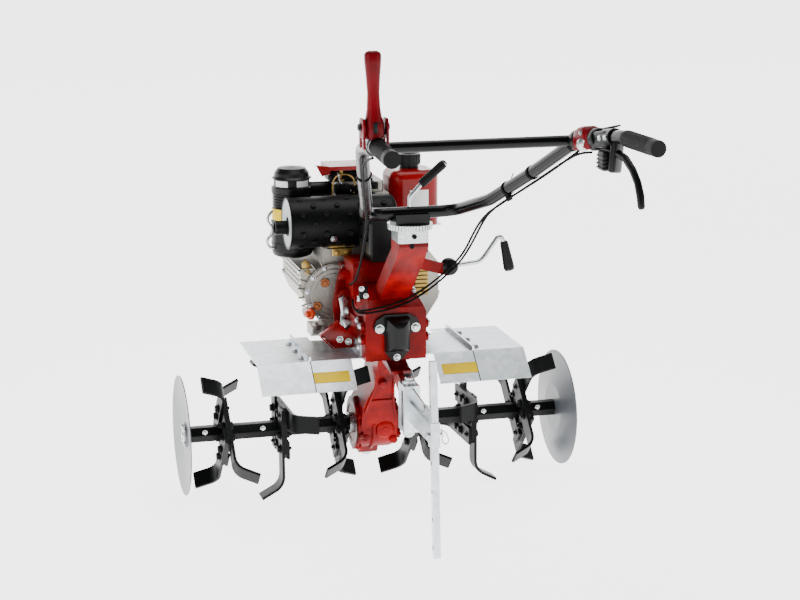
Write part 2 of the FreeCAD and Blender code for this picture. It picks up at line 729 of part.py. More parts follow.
def right_lever():
    """The right hand lever that hangs under the grip."""
    start = along(RIGHT_ARM[2], RIGHT_ARM[3], 0.72)
    top = (start[0], start[1], start[2] - TUBE_R - 5 - 7.4)
    points = [top, (top[0] + 12, top[1] - 70, top[2] - 6), (top[0] + 16, top[1] - 150, top[2] - 60),
              (top[0] + 16, top[1] - 165, top[2] - 110)]
    return bent_bar(points, [60, 50], 7)


nodes["throttle_block"] = throttle_block()
nodes["right_lever"] = right_lever()


def lever_clamp():
    """The clamp on the right arm that carries the hand lever."""
    start = along(RIGHT_ARM[2], RIGHT_ARM[3], 0.66)
    end = along(RIGHT_ARM[2], RIGHT_ARM[3], 0.86)
    return rod(start, end, TUBE_R + 5).cut(BAR_SPACE)


nodes["right_lever_clamp"] = lever_clamp()
nodes["left_lever_clamp"] = mirrored(lever_clamp())


def lock_lever():
    """The bent lever of the swivel clamp with its grip."""
    low = BAR_Z + TUBE_R + 0.3
    points = [
        (0, SWIVEL_Y, low), (0, SWIVEL_Y, low + 26), (30, SWIVEL_Y, low + 58), (94, SWIVEL_Y, low + 112),
    ]
    stem = bent_bar(points, [14, 40], 6)
    handle = rod(along(points[2], points[3], 0.05), points[3], 11)
    return fused([stem, handle])


nodes["lock_lever"] = lock_lever()


# --- gear lever -------------------------------------------------------------------------------

GEAR_PIVOT = (148.0, -256.0, 702.0)


def gear_lever_bracket():
    """The red arm on the column's side with the round knuckle at its end."""
    x, y, z = GEAR_PIVOT
    outline = [(COLUMN_HALF, z + 40), (x - 18, z + 12), (x - 4, z - 24), (COLUMN_HALF, z + 6)]
    arm = front_prism(outline, y - 12, y - 4)
    knuckle = rod((x, y - 14, z), (x, y + 14, z), 21)
    return fused([arm, knuckle])


nodes["gear_lever_bracket"] = gear_lever_bracket()


def gear_lever():
    """The bent gear rod with its hanging grip."""
    x, y, z = GEAR_PIVOT
    start = (x + 12, y, z + 2)
    points = [start, (x + 92, y, z + 10), (x + 144, y, z + 84), (x + 157, y, z + 58)]
    stem = bent_bar(points, [40, 9], 6)
    handle = Part.makeCone(10, 14, 76, V(*points[3]), V(16, 0, -74))
    return fused([stem, handle]).cut(nodes["gear_lever_bracket"])


nodes["gear_lever"] = gear_lever()


# --- engine -----------------------------------------------------------------------------------

ENGINE_FRONT_Y = ENGINE_REAR_Y + ENGINE_LENGTH
CYLINDER_FRONT_Y = ENGINE_FRONT_Y - CYLINDER_FRONT_GAP
CYLINDER_REAR_Y = CYLINDER_FRONT_Y - CYLINDER_DEPTH
HEAD_REAR_Y = CYLINDER_REAR_Y - HEAD_OVERHANG
HEAD_LEFT_X = -CYLINDER_HALF - HEAD_OVERHANG
MUFFLER_Y = CYLINDER_REAR_Y - MUFFLER_GAP - MUFFLER_R
FILTER_Y = CYLINDER_REAR_Y + 50


def crankcase():
    """The aluminium crankcase, wider at the top than at its feet, with three chambers inside."""
    outline = [
        (-84, GEARBOX_BOTTOM_Z), (-118, 468), (-186, 546), (-203, 586), (-203, 650), (-136, 652),
        (-136, CRANKCASE_TOP_Z),
        (160, CRANKCASE_TOP_Z), (205, 650), (205, 545), (140, GEARBOX_BOTTOM_Z),
    ]
    body = front_prism(outline, ENGINE_REAR_Y, ENGINE_FRONT_Y)
    low_y = ENGINE_REAR_Y + CASE_WALL
    room = ENGINE_LENGTH - 2 * CASE_WALL
    inside = inside_prism([(x, low_y, z) for x, z in outline], (0, room, 0), CASE_WALL)
    webs = []
    for side in (-1, 1):
        span = (side * CASE_WEB_X - CASE_WEB / 2, side * CASE_WEB_X + CASE_WEB / 2)
        webs.append(box(span, (ENGINE_REAR_Y, ENGINE_FRONT_Y), (GEARBOX_BOTTOM_Z, CRANKCASE_TOP_Z)))
    middle_y = (ENGINE_REAR_Y + ENGINE_FRONT_Y) / 2
    reach = CASE_WEB_X + CASE_WEB
    oil_way = rod((-reach, middle_y, CRANK_Z), (reach, middle_y, CRANK_Z), 20)
    crank_way = rod((0, middle_y, CRANK_Z), (0, ENGINE_FRONT_Y, CRANK_Z), 22)
    rear = ENGINE_REAR_Y
    pieces = [body, rod((COVER_X, rear, COVER_Z), (COVER_X, rear - COVER_THICK, COVER_Z), COVER_R)]
    for step in range(3):
        radius = COVER_R - 3 - 13 * step
        high = rear - COVER_THICK - 5
        ring = rod((COVER_X, rear, COVER_Z), (COVER_X, high, COVER_Z), radius)
        middle = rod((COVER_X, rear, COVER_Z), (COVER_X, high - 9, COVER_Z), radius - 5)
        pieces.append(ring.cut(middle))
    foot_low = GEARBOX_BOTTOM_Z + 7
    pieces.append(box((-174, -122), (rear + 2, rear + 60), (foot_low, foot_low + 32)))
    neck = rod((-150, rear + 26, 520), (-190, rear + 12, 524), 15)
    bell_room = rod((0, rear, CRANK_Z), (0, rear - 3 * COVER_THICK, CRANK_Z), BELL_R + 1)
    case = fused(pieces + [neck])
    return case.cut([inside.cut(webs), oil_way, crank_way, bell_room])


nodes["crankcase"] = crankcase()


def finned(x, y, z):
    """A block with cooling fins stacked along its height."""
    depth = FIN_DEPTH
    pieces = [box((x[0] + depth, x[1] - depth), (y[0] + depth, y[1] - depth), z)]
    count = int((z[1] - z[0]) / FIN_PITCH)
    pitch = (z[1] - z[0] - FIN_THICK) / count
    for k in range(count + 1):
        low = z[0] + pitch * k
        pieces.append(box(x, y, (low, low + FIN_THICK)))
    return fused(pieces)


nodes["cylinder"] = finned(
    (-CYLINDER_HALF, CYLINDER_HALF), (CYLINDER_REAR_Y, CYLINDER_FRONT_Y), (CRANKCASE_TOP_Z, CYLINDER_TOP_Z),
)


def cylinder_head():
    """The head: a finned lower part and a plain rocker cover."""
    x = (HEAD_LEFT_X, CYLINDER_HALF + HEAD_OVERHANG)
    y = (HEAD_REAR_Y, CYLINDER_FRONT_Y + HEAD_OVERHANG)
    middle = CYLINDER_TOP_Z + 46
    cover = box((x[0] + 12, x[1] - 12), (y[0] + 10, y[1] - 10), (middle - 1, HEAD_TOP_Z))
    cover = cover.makeFillet(10, [e for e in cover.Edges if abs(e.tangentAt(e.FirstParameter).z) > 0.9])
    return fused([finned(x, y, (CYLINDER_TOP_Z, middle)), cover])


nodes["cylinder_head"] = cylinder_head()


def head_guard():
    """The folded guard over the rocker cover: a roof, a rear lip and a pointed fin at its left."""
    x = (HEAD_LEFT_X - 16, HEAD_LEFT_X + 96)
    y = (CYLINDER_REAR_Y, CYLINDER_REAR_Y + 110)
    low = HEAD_TOP_Z
    top = HEAD_TOP_Z + GUARD_HEIGHT
    wall = SHEET_WALL
    roof = box(x, y, (top - wall, top))
    lip = box(x, (y[0], y[0] + wall), (top - GUARD_LIP, top))
    fin = front_prism(
        [(x[0] + 2, top), (x[0] - 38, top + 6), (x[0] - 20, top - 28), (x[0] + 2, top - 22)],
        y[0] + 4, y[0] + 4 + wall,
    )
    left = box((x[0], x[0] + wall), y, (top - 24, top))
    pieces = [roof, lip, fin, left]
    post = GUARD_POST
    for post_x in (x[0] + 30, x[1] - 30):
        pieces.append(box((post_x, post_x + post), (y[1] - post, y[1]), (low, top - wall + 1)))
    return fused(pieces)


nodes["head_guard"] = head_guard()


def fan_housing():
    """The flywheel's fan housing on the engine's front, open to the crankcase and the cylinder."""
    drum_r = CRANK_Z - GEARBOX_BOTTOM_Z - 2
    rear = ENGINE_FRONT_Y
    front = ENGINE_FRONT_Y + FAN_DEPTH
    drum = rod((0, rear, CRANK_Z), (0, front, CRANK_Z), drum_r)
    chute_half = CYLINDER_HALF + 14
    chute = box((-chute_half, chute_half), (rear, front - 12), (CRANK_Z, CYLINDER_TOP_Z))
    wall = SHEET_WALL
    drum_room = rod((0, rear, CRANK_Z), (0, front - wall, CRANK_Z), drum_r - wall)
    chute_room = box((wall - chute_half, chute_half - wall), (rear, front - 12 - wall),
                     (CRANK_Z, CYLINDER_TOP_Z - wall))
    return fused([drum, chute]).cut([drum_room, chute_room])


def recoil_starter():
    """The round starter housing on the fan housing."""
    rear = ENGINE_FRONT_Y + FAN_DEPTH
    front = rear + RECOIL_DEPTH
    shell = rod((0, rear, CRANK_Z), (0, front, CRANK_Z), RECOIL_R)
    return shell.cut(rod((0, rear, CRANK_Z), (0, front - SHEET_WALL, CRANK_Z), RECOIL_R - SHEET_WALL))


nodes["fan_housing"] = fan_housing()
nodes["recoil_starter"] = recoil_starter()


def engine_rails():
    """The two box-section rails and the front block that carry the engine."""
    low = GEARBOX_BOTTOM_Z - RAIL_HEIGHT
    block_rear = RAIL_FRONT_Y - FRONT_PLATE_DEPTH
    wall = RAIL_WALL
    pieces = []
    cuts = []
    for side in (-1, 1):
        span = (side * RAIL_X - RAIL_WIDTH / 2, side * RAIL_X + RAIL_WIDTH / 2)
        pieces.append(box(span, (RAIL_REAR_Y, RAIL_FRONT_Y), (low, GEARBOX_BOTTOM_Z)))
        cuts.append(box((span[0] + wall, span[1] - wall), (RAIL_REAR_Y, block_rear),
                        (low + wall, GEARBOX_BOTTOM_Z - wall)))
    outer = RAIL_X + RAIL_WIDTH / 2
    pieces.append(box((-outer, outer), (block_rear, RAIL_FRONT_Y), (low, GEARBOX_BOTTOM_Z)))
    middle_y = RAIL_FRONT_Y - FRONT_PLATE_DEPTH / 2
    for sx in (-1, 1):
        for sy in (-1, 1):
            x = sx * FRONT_BOLT_DX / 2
            y = middle_y + sy * FRONT_BOLT_DY / 2
            cuts.append(rod((x, y, low - 1), (x, y, GEARBOX_BOTTOM_Z + 1), FRONT_BOLT_R))
    return fused(pieces).cut(cuts)


nodes["engine_rails"] = engine_rails()


def front_bumper():
    """The bent tube guard in front of the engine."""
    z = GEARBOX_BOTTOM_Z - RAIL_HEIGHT / 2
    x = RAIL_X + 4
    points = [(-x, RAIL_FRONT_Y, z), (-x, RAIL_FRONT_Y + 90, z), (-x, RAIL_FRONT_Y + 112, z + 150),
              (x, RAIL_FRONT_Y + 112, z + 150), (x, RAIL_FRONT_Y + 90, z), (x, RAIL_FRONT_Y, z)]
    radii = [45] * 4
    return bent_bar(points, radii, BUMPER_R).cut(bent_bar(points, radii, BUMPER_R - TUBE_WALL))


nodes["front_bumper"] = front_bumper()


def muffler():
    """The muffler in its round guard, with the open outlet stub at its left end."""
    wall = SHEET_WALL

    def rounded_right(shape, radius):
        return shape.makeFillet(radius, [e for e in shape.Edges if e.Closed and e.CenterOfMass.x > 0])

    def along_drum(low, high, radius, up=0.0):
        return rod((low, MUFFLER_Y, MUFFLER_Z + up), (high, MUFFLER_Y, MUFFLER_Z + up), radius)

    end_x = MUFFLER_LEFT_X + MUFFLER_RECESS
    drum = along_drum(MUFFLER_LEFT_X, MUFFLER_RIGHT_X, MUFFLER_R)
    drum = rounded_right(drum, MUFFLER_EDGE_R)
    mouth = along_drum(MUFFLER_LEFT_X, end_x, MUFFLER_R - wall)
    inside = along_drum(end_x + wall, MUFFLER_RIGHT_X - wall, MUFFLER_R - wall)
    inside = rounded_right(inside, MUFFLER_EDGE_R - wall)
    stub = along_drum(MUFFLER_LEFT_X - 34, end_x + wall, 20, -12)
    outlet = along_drum(MUFFLER_LEFT_X - 34, end_x + wall, 20 - wall, -12)
    neck = rod((0, MUFFLER_Y, MUFFLER_Z), (0, HEAD_REAR_Y, CYLINDER_TOP_Z + 22), 20)
    head = box((HEAD_LEFT_X, -HEAD_LEFT_X), (HEAD_REAR_Y, HEAD_REAR_Y + 60), (CYLINDER_TOP_Z, HEAD_TOP_Z))
    return fused([drum.cut(mouth), stub, neck]).cut([inside, outlet, head])


nodes["muffler"] = muffler()


# --- battery box ------------------------------------------------------------------------------

def battery_box():
    """The black battery box over the clutch housing, with its tray."""
    low = CLUTCH_TOP_Z + BATTERY_TRAY
    half = BATTERY_WIDTH / 2 - 12
    tray = box(
        (BATTERY_MIDDLE_X - half, BATTERY_MIDDLE_X + half), (CLUTCH_REAR_Y - 20, -24), (CLUTCH_TOP_Z, low),
    )
    left = BATTERY_MIDDLE_X - BATTERY_WIDTH / 2
    right = BATTERY_MIDDLE_X + BATTERY_WIDTH / 2
    rear = CLUTCH_REAR_Y - 40
    front = MUFFLER_Y - MUFFLER_R - BATTERY_GAP
    case = box((left, right), (rear, front), (low, low + BATTERY_HEIGHT))
    case = case.makeFillet(9, [e for e in case.Edges if abs(e.tangentAt(e.FirstParameter).z) > 0.9])
    grooves = []
    for share in (0.3, 0.62):
        z = low + share * BATTERY_HEIGHT
        for x in (left, right):
            grooves.append(box((x - 5, x + 5), (rear + 14, front - 14), (z, z + BATTERY_GROOVE)))
    high = low + BATTERY_HEIGHT
    lid = box((left - 4, right + 4), (rear - 4, front), (high - 20, high - 12))
    return fused([tray, case.cut(grooves), lid])


nodes["battery_box"] = battery_box()


def air_filter():
    """The oil-bath air filter: latched bowl, ribbed body, windowed neck and domed cap."""
    profile = [(0, 662), (44, 662), (56, 668), (60, 680), (60, 768), (57, 771), (57, 806)]
    for z in range(812, 846, 8):
        profile += [(54, z), (57, z + 2), (57, z + 4), (54, z + 6)]
    profile += [(59, 850), (59, 866), (52, 870), (52, 888), (58, 892), (51, 898), (50, 908)]
    profile += [(40, 921), (0, 926)]
    wire = Part.makePolygon([V(r, 0, z) for r, z in profile + profile[:1]])
    body = Part.Face(wire).revolve(V(0, 0, 0), V(0, 0, 1), 360)
    body.translate(V(FILTER_X, FILTER_Y, 0))
    centre = (FILTER_X, FILTER_Y, ELBOW_Z)
    end = (HEAD_LEFT_X, FILTER_Y, ELBOW_Z)
    room = rod((FILTER_X, FILTER_Y, 668), (FILTER_X, FILTER_Y, 890), 46)
    return fused([body, rod(centre, end, ELBOW_R)]).cut([room, rod(centre, end, ELBOW_R - SHEET_WALL)])


nodes["air_filter"] = air_filter()


TANK_LOW_X = CYLINDER_HALF + HEAD_OVERHANG + TANK_GAP
TANK_REAR_Y = CYLINDER_REAR_Y - 24


def tank_body(inset):
    """The rounded tank, or its inside when an inset is given."""
    tank = box((TANK_LOW_X + inset, TANK_LOW_X + TANK_WIDTH - inset),
               (TANK_REAR_Y + inset, TANK_REAR_Y + TANK_LENGTH - inset),
                (TANK_FLOOR_Z + inset, TANK_TOP_Z - inset))
    uprights = [e for e in tank.Edges if abs(e.tangentAt(e.FirstParameter).z) > 0.9]
    tank = tank.makeFillet(38 - inset, uprights)
    return tank.makeFillet(24 - inset, [e for e in tank.Edges if e.CenterOfMass.z > TANK_TOP_Z - inset - 1])


CAP_X = TANK_LOW_X + TANK_WIDTH / 2
CAP_Y = TANK_REAR_Y + 82
FILLER = rod((CAP_X, CAP_Y, TANK_TOP_Z - 20), (CAP_X, CAP_Y, TANK_TOP_Z), 22)
nodes["fuel_tank"] = tank_body(0).cut([tank_body(SHEET_WALL), FILLER])
nodes["fuel_cap"] = fused([
    rod((CAP_X, CAP_Y, TANK_TOP_Z), (CAP_X, CAP_Y, TANK_TOP_Z + 12), 28),
    rod((CAP_X, CAP_Y, TANK_TOP_Z + 10), (CAP_X, CAP_Y, TANK_TOP_Z + 42), 33),
])


def tank_bracket():
    """The folded foot and the shelf under the tank."""
    x = (TANK_LOW_X + 8, TANK_LOW_X + 66)
    y = (CYLINDER_REAR_Y + 8, CYLINDER_REAR_Y + 138)
    wall = SHEET_WALL
    foot = box(x, y, (CRANKCASE_TOP_Z, TANK_FLOOR_Z))
    shelf = box((x[0], TANK_LOW_X + 156), (y[0] - 10, y[1] + 10), (TANK_FLOOR_Z - 5, TANK_FLOOR_Z))
    inside = box((x[0] + wall, x[1] - wall), y, (CRANKCASE_TOP_Z + wall, TANK_FLOOR_Z - 5))
    return fused([foot, shelf]).cut(inside)


nodes["tank_bracket"] = tank_bracket()


# --- fenders ----------------------------------------------------------------------------------

def flap(x_low, x_high, drop=0.0):
    """The slanting skirt behind a fender's top plate, its lower edge turned in."""
    top = FENDER_TOP_Z - drop
    rear = FENDER_REAR_Y
    foot = (rear - FLAP_REACH, top - FLAP_DROP)
    outline = [
        (rear, top), foot, (foot[0] + 10, foot[1] - 4), (foot[0] + 10, foot[1] - 4 + SHEET),
        (foot[0] + SHEET + 1, foot[1] + 1), (rear + SHEET / 2, top - SHEET),
    ]
    return side_prism(outline, x_low, x_high)


def seam_edge(x_low, front_y):
    """The upturned edge where main fender and extension are bolted together."""
    high = FENDER_TOP_Z + SEAM_HEIGHT
    return box((x_low, x_low + SHEET), (FENDER_REAR_Y, front_y), (FENDER_TOP_Z - SHEET, high))


def fender():
    """The right main fender: top plate, rear flap and the flange on the gearbox."""
    inner = GEARBOX_HALF
    notch_x = FENDER_SEAM_X - 50
    notch_y = GEARBOX_FRONT_Y + 18
    low = FENDER_TOP_Z - SHEET
    top_outline = [
        (inner, FENDER_REAR_Y), (FENDER_SEAM_X, FENDER_REAR_Y), (FENDER_SEAM_X, FENDER_FRONT_Y),
        (notch_x, FENDER_FRONT_Y), (notch_x, notch_y), (inner, notch_y),
    ]
    top = prism([(x, y, low) for x, y in top_outline], (0, 0, SHEET))
    high = FENDER_TOP_Z + FENDER_FLANGE_HIGH
    flange = box((inner, inner + SHEET), (FENDER_REAR_Y + 10, notch_y - 30), (low, high))
    edge = seam_edge(FENDER_SEAM_X - SHEET, FENDER_FRONT_Y)
    return fused([top, flap(FENDER_INNER_X, FENDER_SEAM_X), flange, edge])


def fender_extension():
    """The bolted outer part of the right fender."""
    front = FENDER_FRONT_Y - 8
    top = box((FENDER_SEAM_X, FENDER_END_X), (FENDER_REAR_Y, front), (FENDER_TOP_Z - SHEET, FENDER_TOP_Z))
    return fused([top, flap(FENDER_SEAM_X, FENDER_END_X), seam_edge(FENDER_SEAM_X, front)])


nodes["right_fender"] = fender()
nodes["left_fender"] = mirrored(fender())
nodes["right_fender_extension"] = fender_extension()
nodes["left_fender_extension"] = mirrored(fender_extension())


# --- hitch and drag bar -----------------------------------------------------------------------

def hitch_bracket():
    """The red arm under the gearbox's rear edge, ending in the barrel for the hitch pin."""
    arm = side_prism(
        [(-200, GEARBOX_BOTTOM_Z), (GEARBOX_REAR_Y, GEARBOX_BOTTOM_Z),
         (HITCH_PIN_Y + HITCH_SWING_R, HITCH_HIGH_Z - 8), (HITCH_PIN_Y, HITCH_HIGH_Z - 8),
         (HITCH_PIN_Y, HITCH_LOW_Z + 40), (-250, HITCH_HIGH_Z - 14), (-200, GEARBOX_BOTTOM_Z - 12)],
        -HITCH_ARM_HALF, HITCH_ARM_HALF,
    )
    shoe = side_prism(
        [(-200, GEARBOX_BOTTOM_Z), (GEARBOX_REAR_Y, GEARBOX_BOTTOM_Z), (-300, 427), (-292, 417),
         (-200, 433)],
        -3.5 * HITCH_ARM_HALF, 3.5 * HITCH_ARM_HALF,
    )
    barrel = rod((0, HITCH_PIN_Y, HITCH_LOW_Z), (0, HITCH_PIN_Y, HITCH_HIGH_Z), HITCH_BARREL_R)
    bore = rod((0, HITCH_PIN_Y, HITCH_LOW_Z), (0, HITCH_PIN_Y, HITCH_HIGH_Z), HITCH_PIN_R + SHAFT_CLEARANCE)
    return fused([arm, shoe, barrel]).cut(bore)


nodes["hitch_bracket"] = hitch_bracket()

CLEVIS_REAR_Y = HITCH_PIN_Y - 34
CLEVIS_FRONT_Y = HITCH_PIN_Y + 26
EAR_GAP = 0.5
BAR_FRONT_Y = DRAG_BAR_Y + DRAG_BAR_DEPTH / 2
BAR_REAR_Y = DRAG_BAR_Y - DRAG_BAR_DEPTH / 2


def raked(shape):
    """A piece drawn on the upright bar, leant back about the middle of the sleeve."""
    shape.rotate(V(0, DRAG_BAR_Y, SLEEVE_PIN_Z), V(1, 0, 0), -DRAG_BAR_RAKE_DEG)
    return shape


def depth_hole(k):
    """The k-th hole above or below the sleeve's pin, through the upright bar."""
    z = SLEEVE_PIN_Z + DRAG_HOLE_PITCH * k
    half = DRAG_BAR_THICK
    return rod((DRAG_BAR_X - half, DRAG_BAR_Y, z), (DRAG_BAR_X + half, DRAG_BAR_Y, z), DRAG_HOLE_R)


def hitch_arm():
    """The galvanised channel on the pin, its arm plates and the sleeve that holds the drag bar."""
    low = HITCH_LOW_Z - EAR_GAP
    high = HITCH_HIGH_Z + EAR_GAP
    half = CLEVIS_HALF
    span = (low - EAR_THICK, high + EAR_THICK)
    depth = (CLEVIS_REAR_Y, CLEVIS_FRONT_Y)
    channel = box((-half, half), depth, span)
    room = half - CLEVIS_WALL
    channel = channel.cut(box((-room, room), (CLEVIS_REAR_Y + EAR_THICK, CLEVIS_FRONT_Y), (low, high)))
    slot_y = CLEVIS_REAR_Y + 12
    slot = box((-2 * half, 2 * half), (slot_y, slot_y + CLEVIS_SLOT), (low + 8, high - 8))
    slot = slot.makeFillet(8, [e for e in slot.Edges if abs(e.tangentAt(e.FirstParameter).x) > 0.9])
    sleeve_front = BAR_FRONT_Y + SLEEVE_WALL
    sleeve_z = (SLEEVE_PIN_Z - SLEEVE_HEIGHT / 2, SLEEVE_PIN_Z + SLEEVE_HEIGHT / 2)
    gusset = side_prism(
        [(CLEVIS_REAR_Y + 1, ARM_BAND_LOW_Z), (sleeve_front - 2, sleeve_z[0] + 8),
         (sleeve_front - 2, sleeve_z[1] + 18), (CLEVIS_REAR_Y + 1, high)],
        0, GUSSET_THICK,
    )
    band = side_prism(
        [(CLEVIS_REAR_Y + 1, ARM_BAND_LOW_Z), (sleeve_front - 2, ARM_BAND_LOW_Z),
         (sleeve_front - 2, ARM_BAND_HIGH_Z - 6), (CLEVIS_REAR_Y + 1, ARM_BAND_HIGH_Z)],
        -ARM_BAND, 0,
    )
    sleeve_half = DRAG_BAR_THICK / 2 + SLEEVE_WALL
    sleeve_depth = (BAR_REAR_Y - SLEEVE_WALL, sleeve_front)
    sleeve = raked(box((DRAG_BAR_X - sleeve_half, DRAG_BAR_X + sleeve_half), sleeve_depth, sleeve_z))
    side_x = (DRAG_BAR_X - DRAG_BAR_THICK / 2, DRAG_BAR_X + DRAG_BAR_THICK / 2)
    way = raked(box(side_x, (BAR_REAR_Y, BAR_FRONT_Y), (sleeve_z[0] - 40, sleeve_z[1] + 60)))
    clip_hole = rod((-30, CLEVIS_REAR_Y - 114, 386), (30, CLEVIS_REAR_Y - 114, 386), 4)
    return fused([channel.cut(slot), gusset, band, sleeve]).cut([way, raked(depth_hole(0)), clip_hole])


nodes["hitch_arm"] = hitch_arm()


def hitch_pin():
    """The vertical pin through the channel and barrel, with its head and nut."""
    low = HITCH_LOW_Z - EAR_GAP - EAR_THICK
    high = HITCH_HIGH_Z + EAR_GAP + EAR_THICK
    shank = rod((0, HITCH_PIN_Y, low - 20), (0, HITCH_PIN_Y, high), HITCH_PIN_R)
    head = rod((0, HITCH_PIN_Y, high), (0, HITCH_PIN_Y, high + 8), HITCH_PIN_R + 8)
    nut = rod((0, HITCH_PIN_Y, low - 14), (0, HITCH_PIN_Y, low), HITCH_PIN_R + 6)
    return fused([shank, head, nut])


nodes["hitch_pin"] = hitch_pin()
nodes["hitch_arm"] = nodes["hitch_arm"].cut(nodes["hitch_pin"])


def drag_bar():
    """The square drag bar with its row of depth holes, leant back and cut level at its foot."""
    side_x = (DRAG_BAR_X - DRAG_BAR_THICK / 2, DRAG_BAR_X + DRAG_BAR_THICK / 2)
    bar = raked(box(side_x, (BAR_REAR_Y, BAR_FRONT_Y), (FLOOR_Z - 30, DRAG_BAR_TOP_Z)))
    ground = box((-60, 60), (BAR_REAR_Y - 200, BAR_FRONT_Y + 200), (FLOOR_Z - 90, FLOOR_Z))
    holes = [raked(depth_hole(k - DRAG_HOLES // 2 - 1)) for k in range(DRAG_HOLES)]
    return bar.cut([ground] + holes)


nodes["drag_bar"] = drag_bar()
mount_hole = raked(depth_hole(-2)).CenterOfMass


# --- held cables ------------------------------------------------------------------------------

CABLE_R = 3.0
THROTTLE_END_X = -GEARBOX_HALF - CABLE_R - 0.4
CLUTCH_END_X = -CLUTCH_HALF - CABLE_R - 0.4
THROTTLE_CABLE = [
    (268, -1010, 1122.5), (263, -950, 1114), (250, -885, 1085), (231, -815, 1046), (213, -748, 1009),
    (194, -680, 972), (175, -612, 934), (160, -548, 900), (157, -490, 862), (158, -432, 820),
    (161, -374, 778), (158, -318, 737), (134, -280, 696), (86, -272, 656), (34, -270, 624),
    (-16, -268, 607), (-60, -266, 599), (THROTTLE_END_X - 7.6, -259, 592),
    (THROTTLE_END_X - 13.6, -222, 586),
    (THROTTLE_END_X - 5.6, -186, 578), (THROTTLE_END_X, -150, 571),
]
CLUTCH_CABLE = [
    (-279, -1096, 1144), (-271, -1026, 1130), (-263, -955, 1114), (-250, -885, 1085),
    (-231, -815, 1046), (-213, -748, 1009), (-194, -680, 972), (-175, -612, 934), (-157, -548, 893),
    (-144, -484, 848), (-134, -420, 800), (-125, -356, 754), (-116, -292, 712), (-107, -228, 676),
    (CLUTCH_END_X - 5.6, -160, 648), (CLUTCH_END_X, -92, 630),
]
nodes["throttle_cable"] = cable(THROTTLE_CABLE, CABLE_R)
nodes["clutch_cable"] = cable(CLUTCH_CABLE, CABLE_R)


# --- out to the files -------------------------------------------------------------------------

whole = Part.makeCompound(list(nodes.values()))
bounds = whole.BoundBox
shift = V(0, -(bounds.YMin + bounds.YMax) / 2, -FLOOR_Z)
print("bounds before the shift:", bounds)
print("depth hole at:", mount_hole + shift)
print("shift along Y and Z:", round(shift.y, 4), round(shift.z, 4))

os.makedirs("parts", exist_ok=True)
for name, shape in nodes.items():
    shape.translate(shift)
    solids = len(shape.Solids)
    print(f"{name:26s} solids {solids} valid {shape.isValid()} volume {shape.Volume / 1e3:9.1f} cm3")
    shape.exportStep(f"parts/{name}.step")
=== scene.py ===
# %% [markdown]
# # A walk-behind garden tiller
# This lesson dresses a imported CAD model. The solids have their real places and sizes, so nothing is
# moved. We add a camera, light, finishes and the small pieces that the solids leave out.

from math import atan2, copysign, cos, hypot, radians, sin, sqrt

import bmesh
import bpy
from bmesh import ops
from mathutils import Matrix, Vector


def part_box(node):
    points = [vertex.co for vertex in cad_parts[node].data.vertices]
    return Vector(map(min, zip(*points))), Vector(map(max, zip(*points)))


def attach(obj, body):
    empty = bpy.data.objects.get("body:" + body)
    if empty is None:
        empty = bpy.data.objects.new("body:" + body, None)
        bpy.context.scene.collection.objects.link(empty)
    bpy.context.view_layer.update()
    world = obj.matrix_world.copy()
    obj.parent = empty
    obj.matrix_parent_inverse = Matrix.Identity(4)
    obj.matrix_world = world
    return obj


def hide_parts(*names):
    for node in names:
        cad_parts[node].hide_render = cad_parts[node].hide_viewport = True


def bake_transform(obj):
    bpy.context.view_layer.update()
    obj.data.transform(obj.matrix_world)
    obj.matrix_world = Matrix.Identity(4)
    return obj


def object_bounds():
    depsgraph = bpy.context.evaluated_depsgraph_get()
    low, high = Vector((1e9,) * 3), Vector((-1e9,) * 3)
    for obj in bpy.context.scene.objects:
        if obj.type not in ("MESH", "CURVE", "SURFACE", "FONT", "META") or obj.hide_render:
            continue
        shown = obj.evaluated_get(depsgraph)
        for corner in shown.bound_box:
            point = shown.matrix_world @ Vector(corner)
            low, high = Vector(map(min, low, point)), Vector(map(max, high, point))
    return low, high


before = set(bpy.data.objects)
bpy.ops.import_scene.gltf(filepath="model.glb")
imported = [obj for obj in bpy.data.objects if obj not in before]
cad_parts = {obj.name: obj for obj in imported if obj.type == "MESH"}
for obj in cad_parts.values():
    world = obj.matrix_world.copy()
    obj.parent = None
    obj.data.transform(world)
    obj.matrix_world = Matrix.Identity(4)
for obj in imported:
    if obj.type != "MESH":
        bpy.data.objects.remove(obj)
cad_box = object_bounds()
print("nodes:", len(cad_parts), "box:", cad_box)

# %% [markdown]
# The tine axle is the machine's natural zero. Places are in millimetres as on a workshop drawing:
# across, forwards from the axle, and up from a level 200 mm under it. Two helpers turn them into
# metres in the frame and back.

# %% Measure from the axle
AXLE_UP = 200
disc_low, disc_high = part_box("right_disc")
axle = (disc_low + disc_high) / 2
DRAWING_ZERO = Vector((0, axle.y, axle.z - AXLE_UP / 1000))


def at(x, y, z):
    """A place on the drawing, in millimetres, as a point in metres."""
    return Vector((x, y, z)) / 1000 + DRAWING_ZERO


def box_mm(name):
    """The low and high corners of a CAD node, in millimetres on the drawing."""
    return [1000 * (corner - DRAWING_ZERO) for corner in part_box(name)]


print("axle:", axle)

# %% [markdown]
# ## Camera
# A wide lens close by would swell the near handle. A catalogue picture uses a long one, so the
# camera stands 5 m behind, a little to the left and above the handlebar, and looks at the engine.

# %% Camera
def new_object(name, data):
    """Puts new data into the scene as an object."""
    made = bpy.data.objects.new(name, data)
    bpy.context.scene.collection.objects.link(made)
    return made


def look(viewer, place, aim):
    """Stands a camera or lamp at a place and turns it to its aim."""
    viewer.location = place
    viewer.rotation_euler = (Vector(aim) - Vector(place)).to_track_quat("-Z", "Y").to_euler()


camera_data = bpy.data.cameras.new("studio_camera")
camera_data.lens = 85.26
camera_data.sensor_width = 36
camera = new_object("studio_camera", camera_data)
look(camera, at(-1298, -5121, 1786), at(77.3, 0, 554.5))
bpy.context.scene.camera = camera
print("camera:", camera.location)

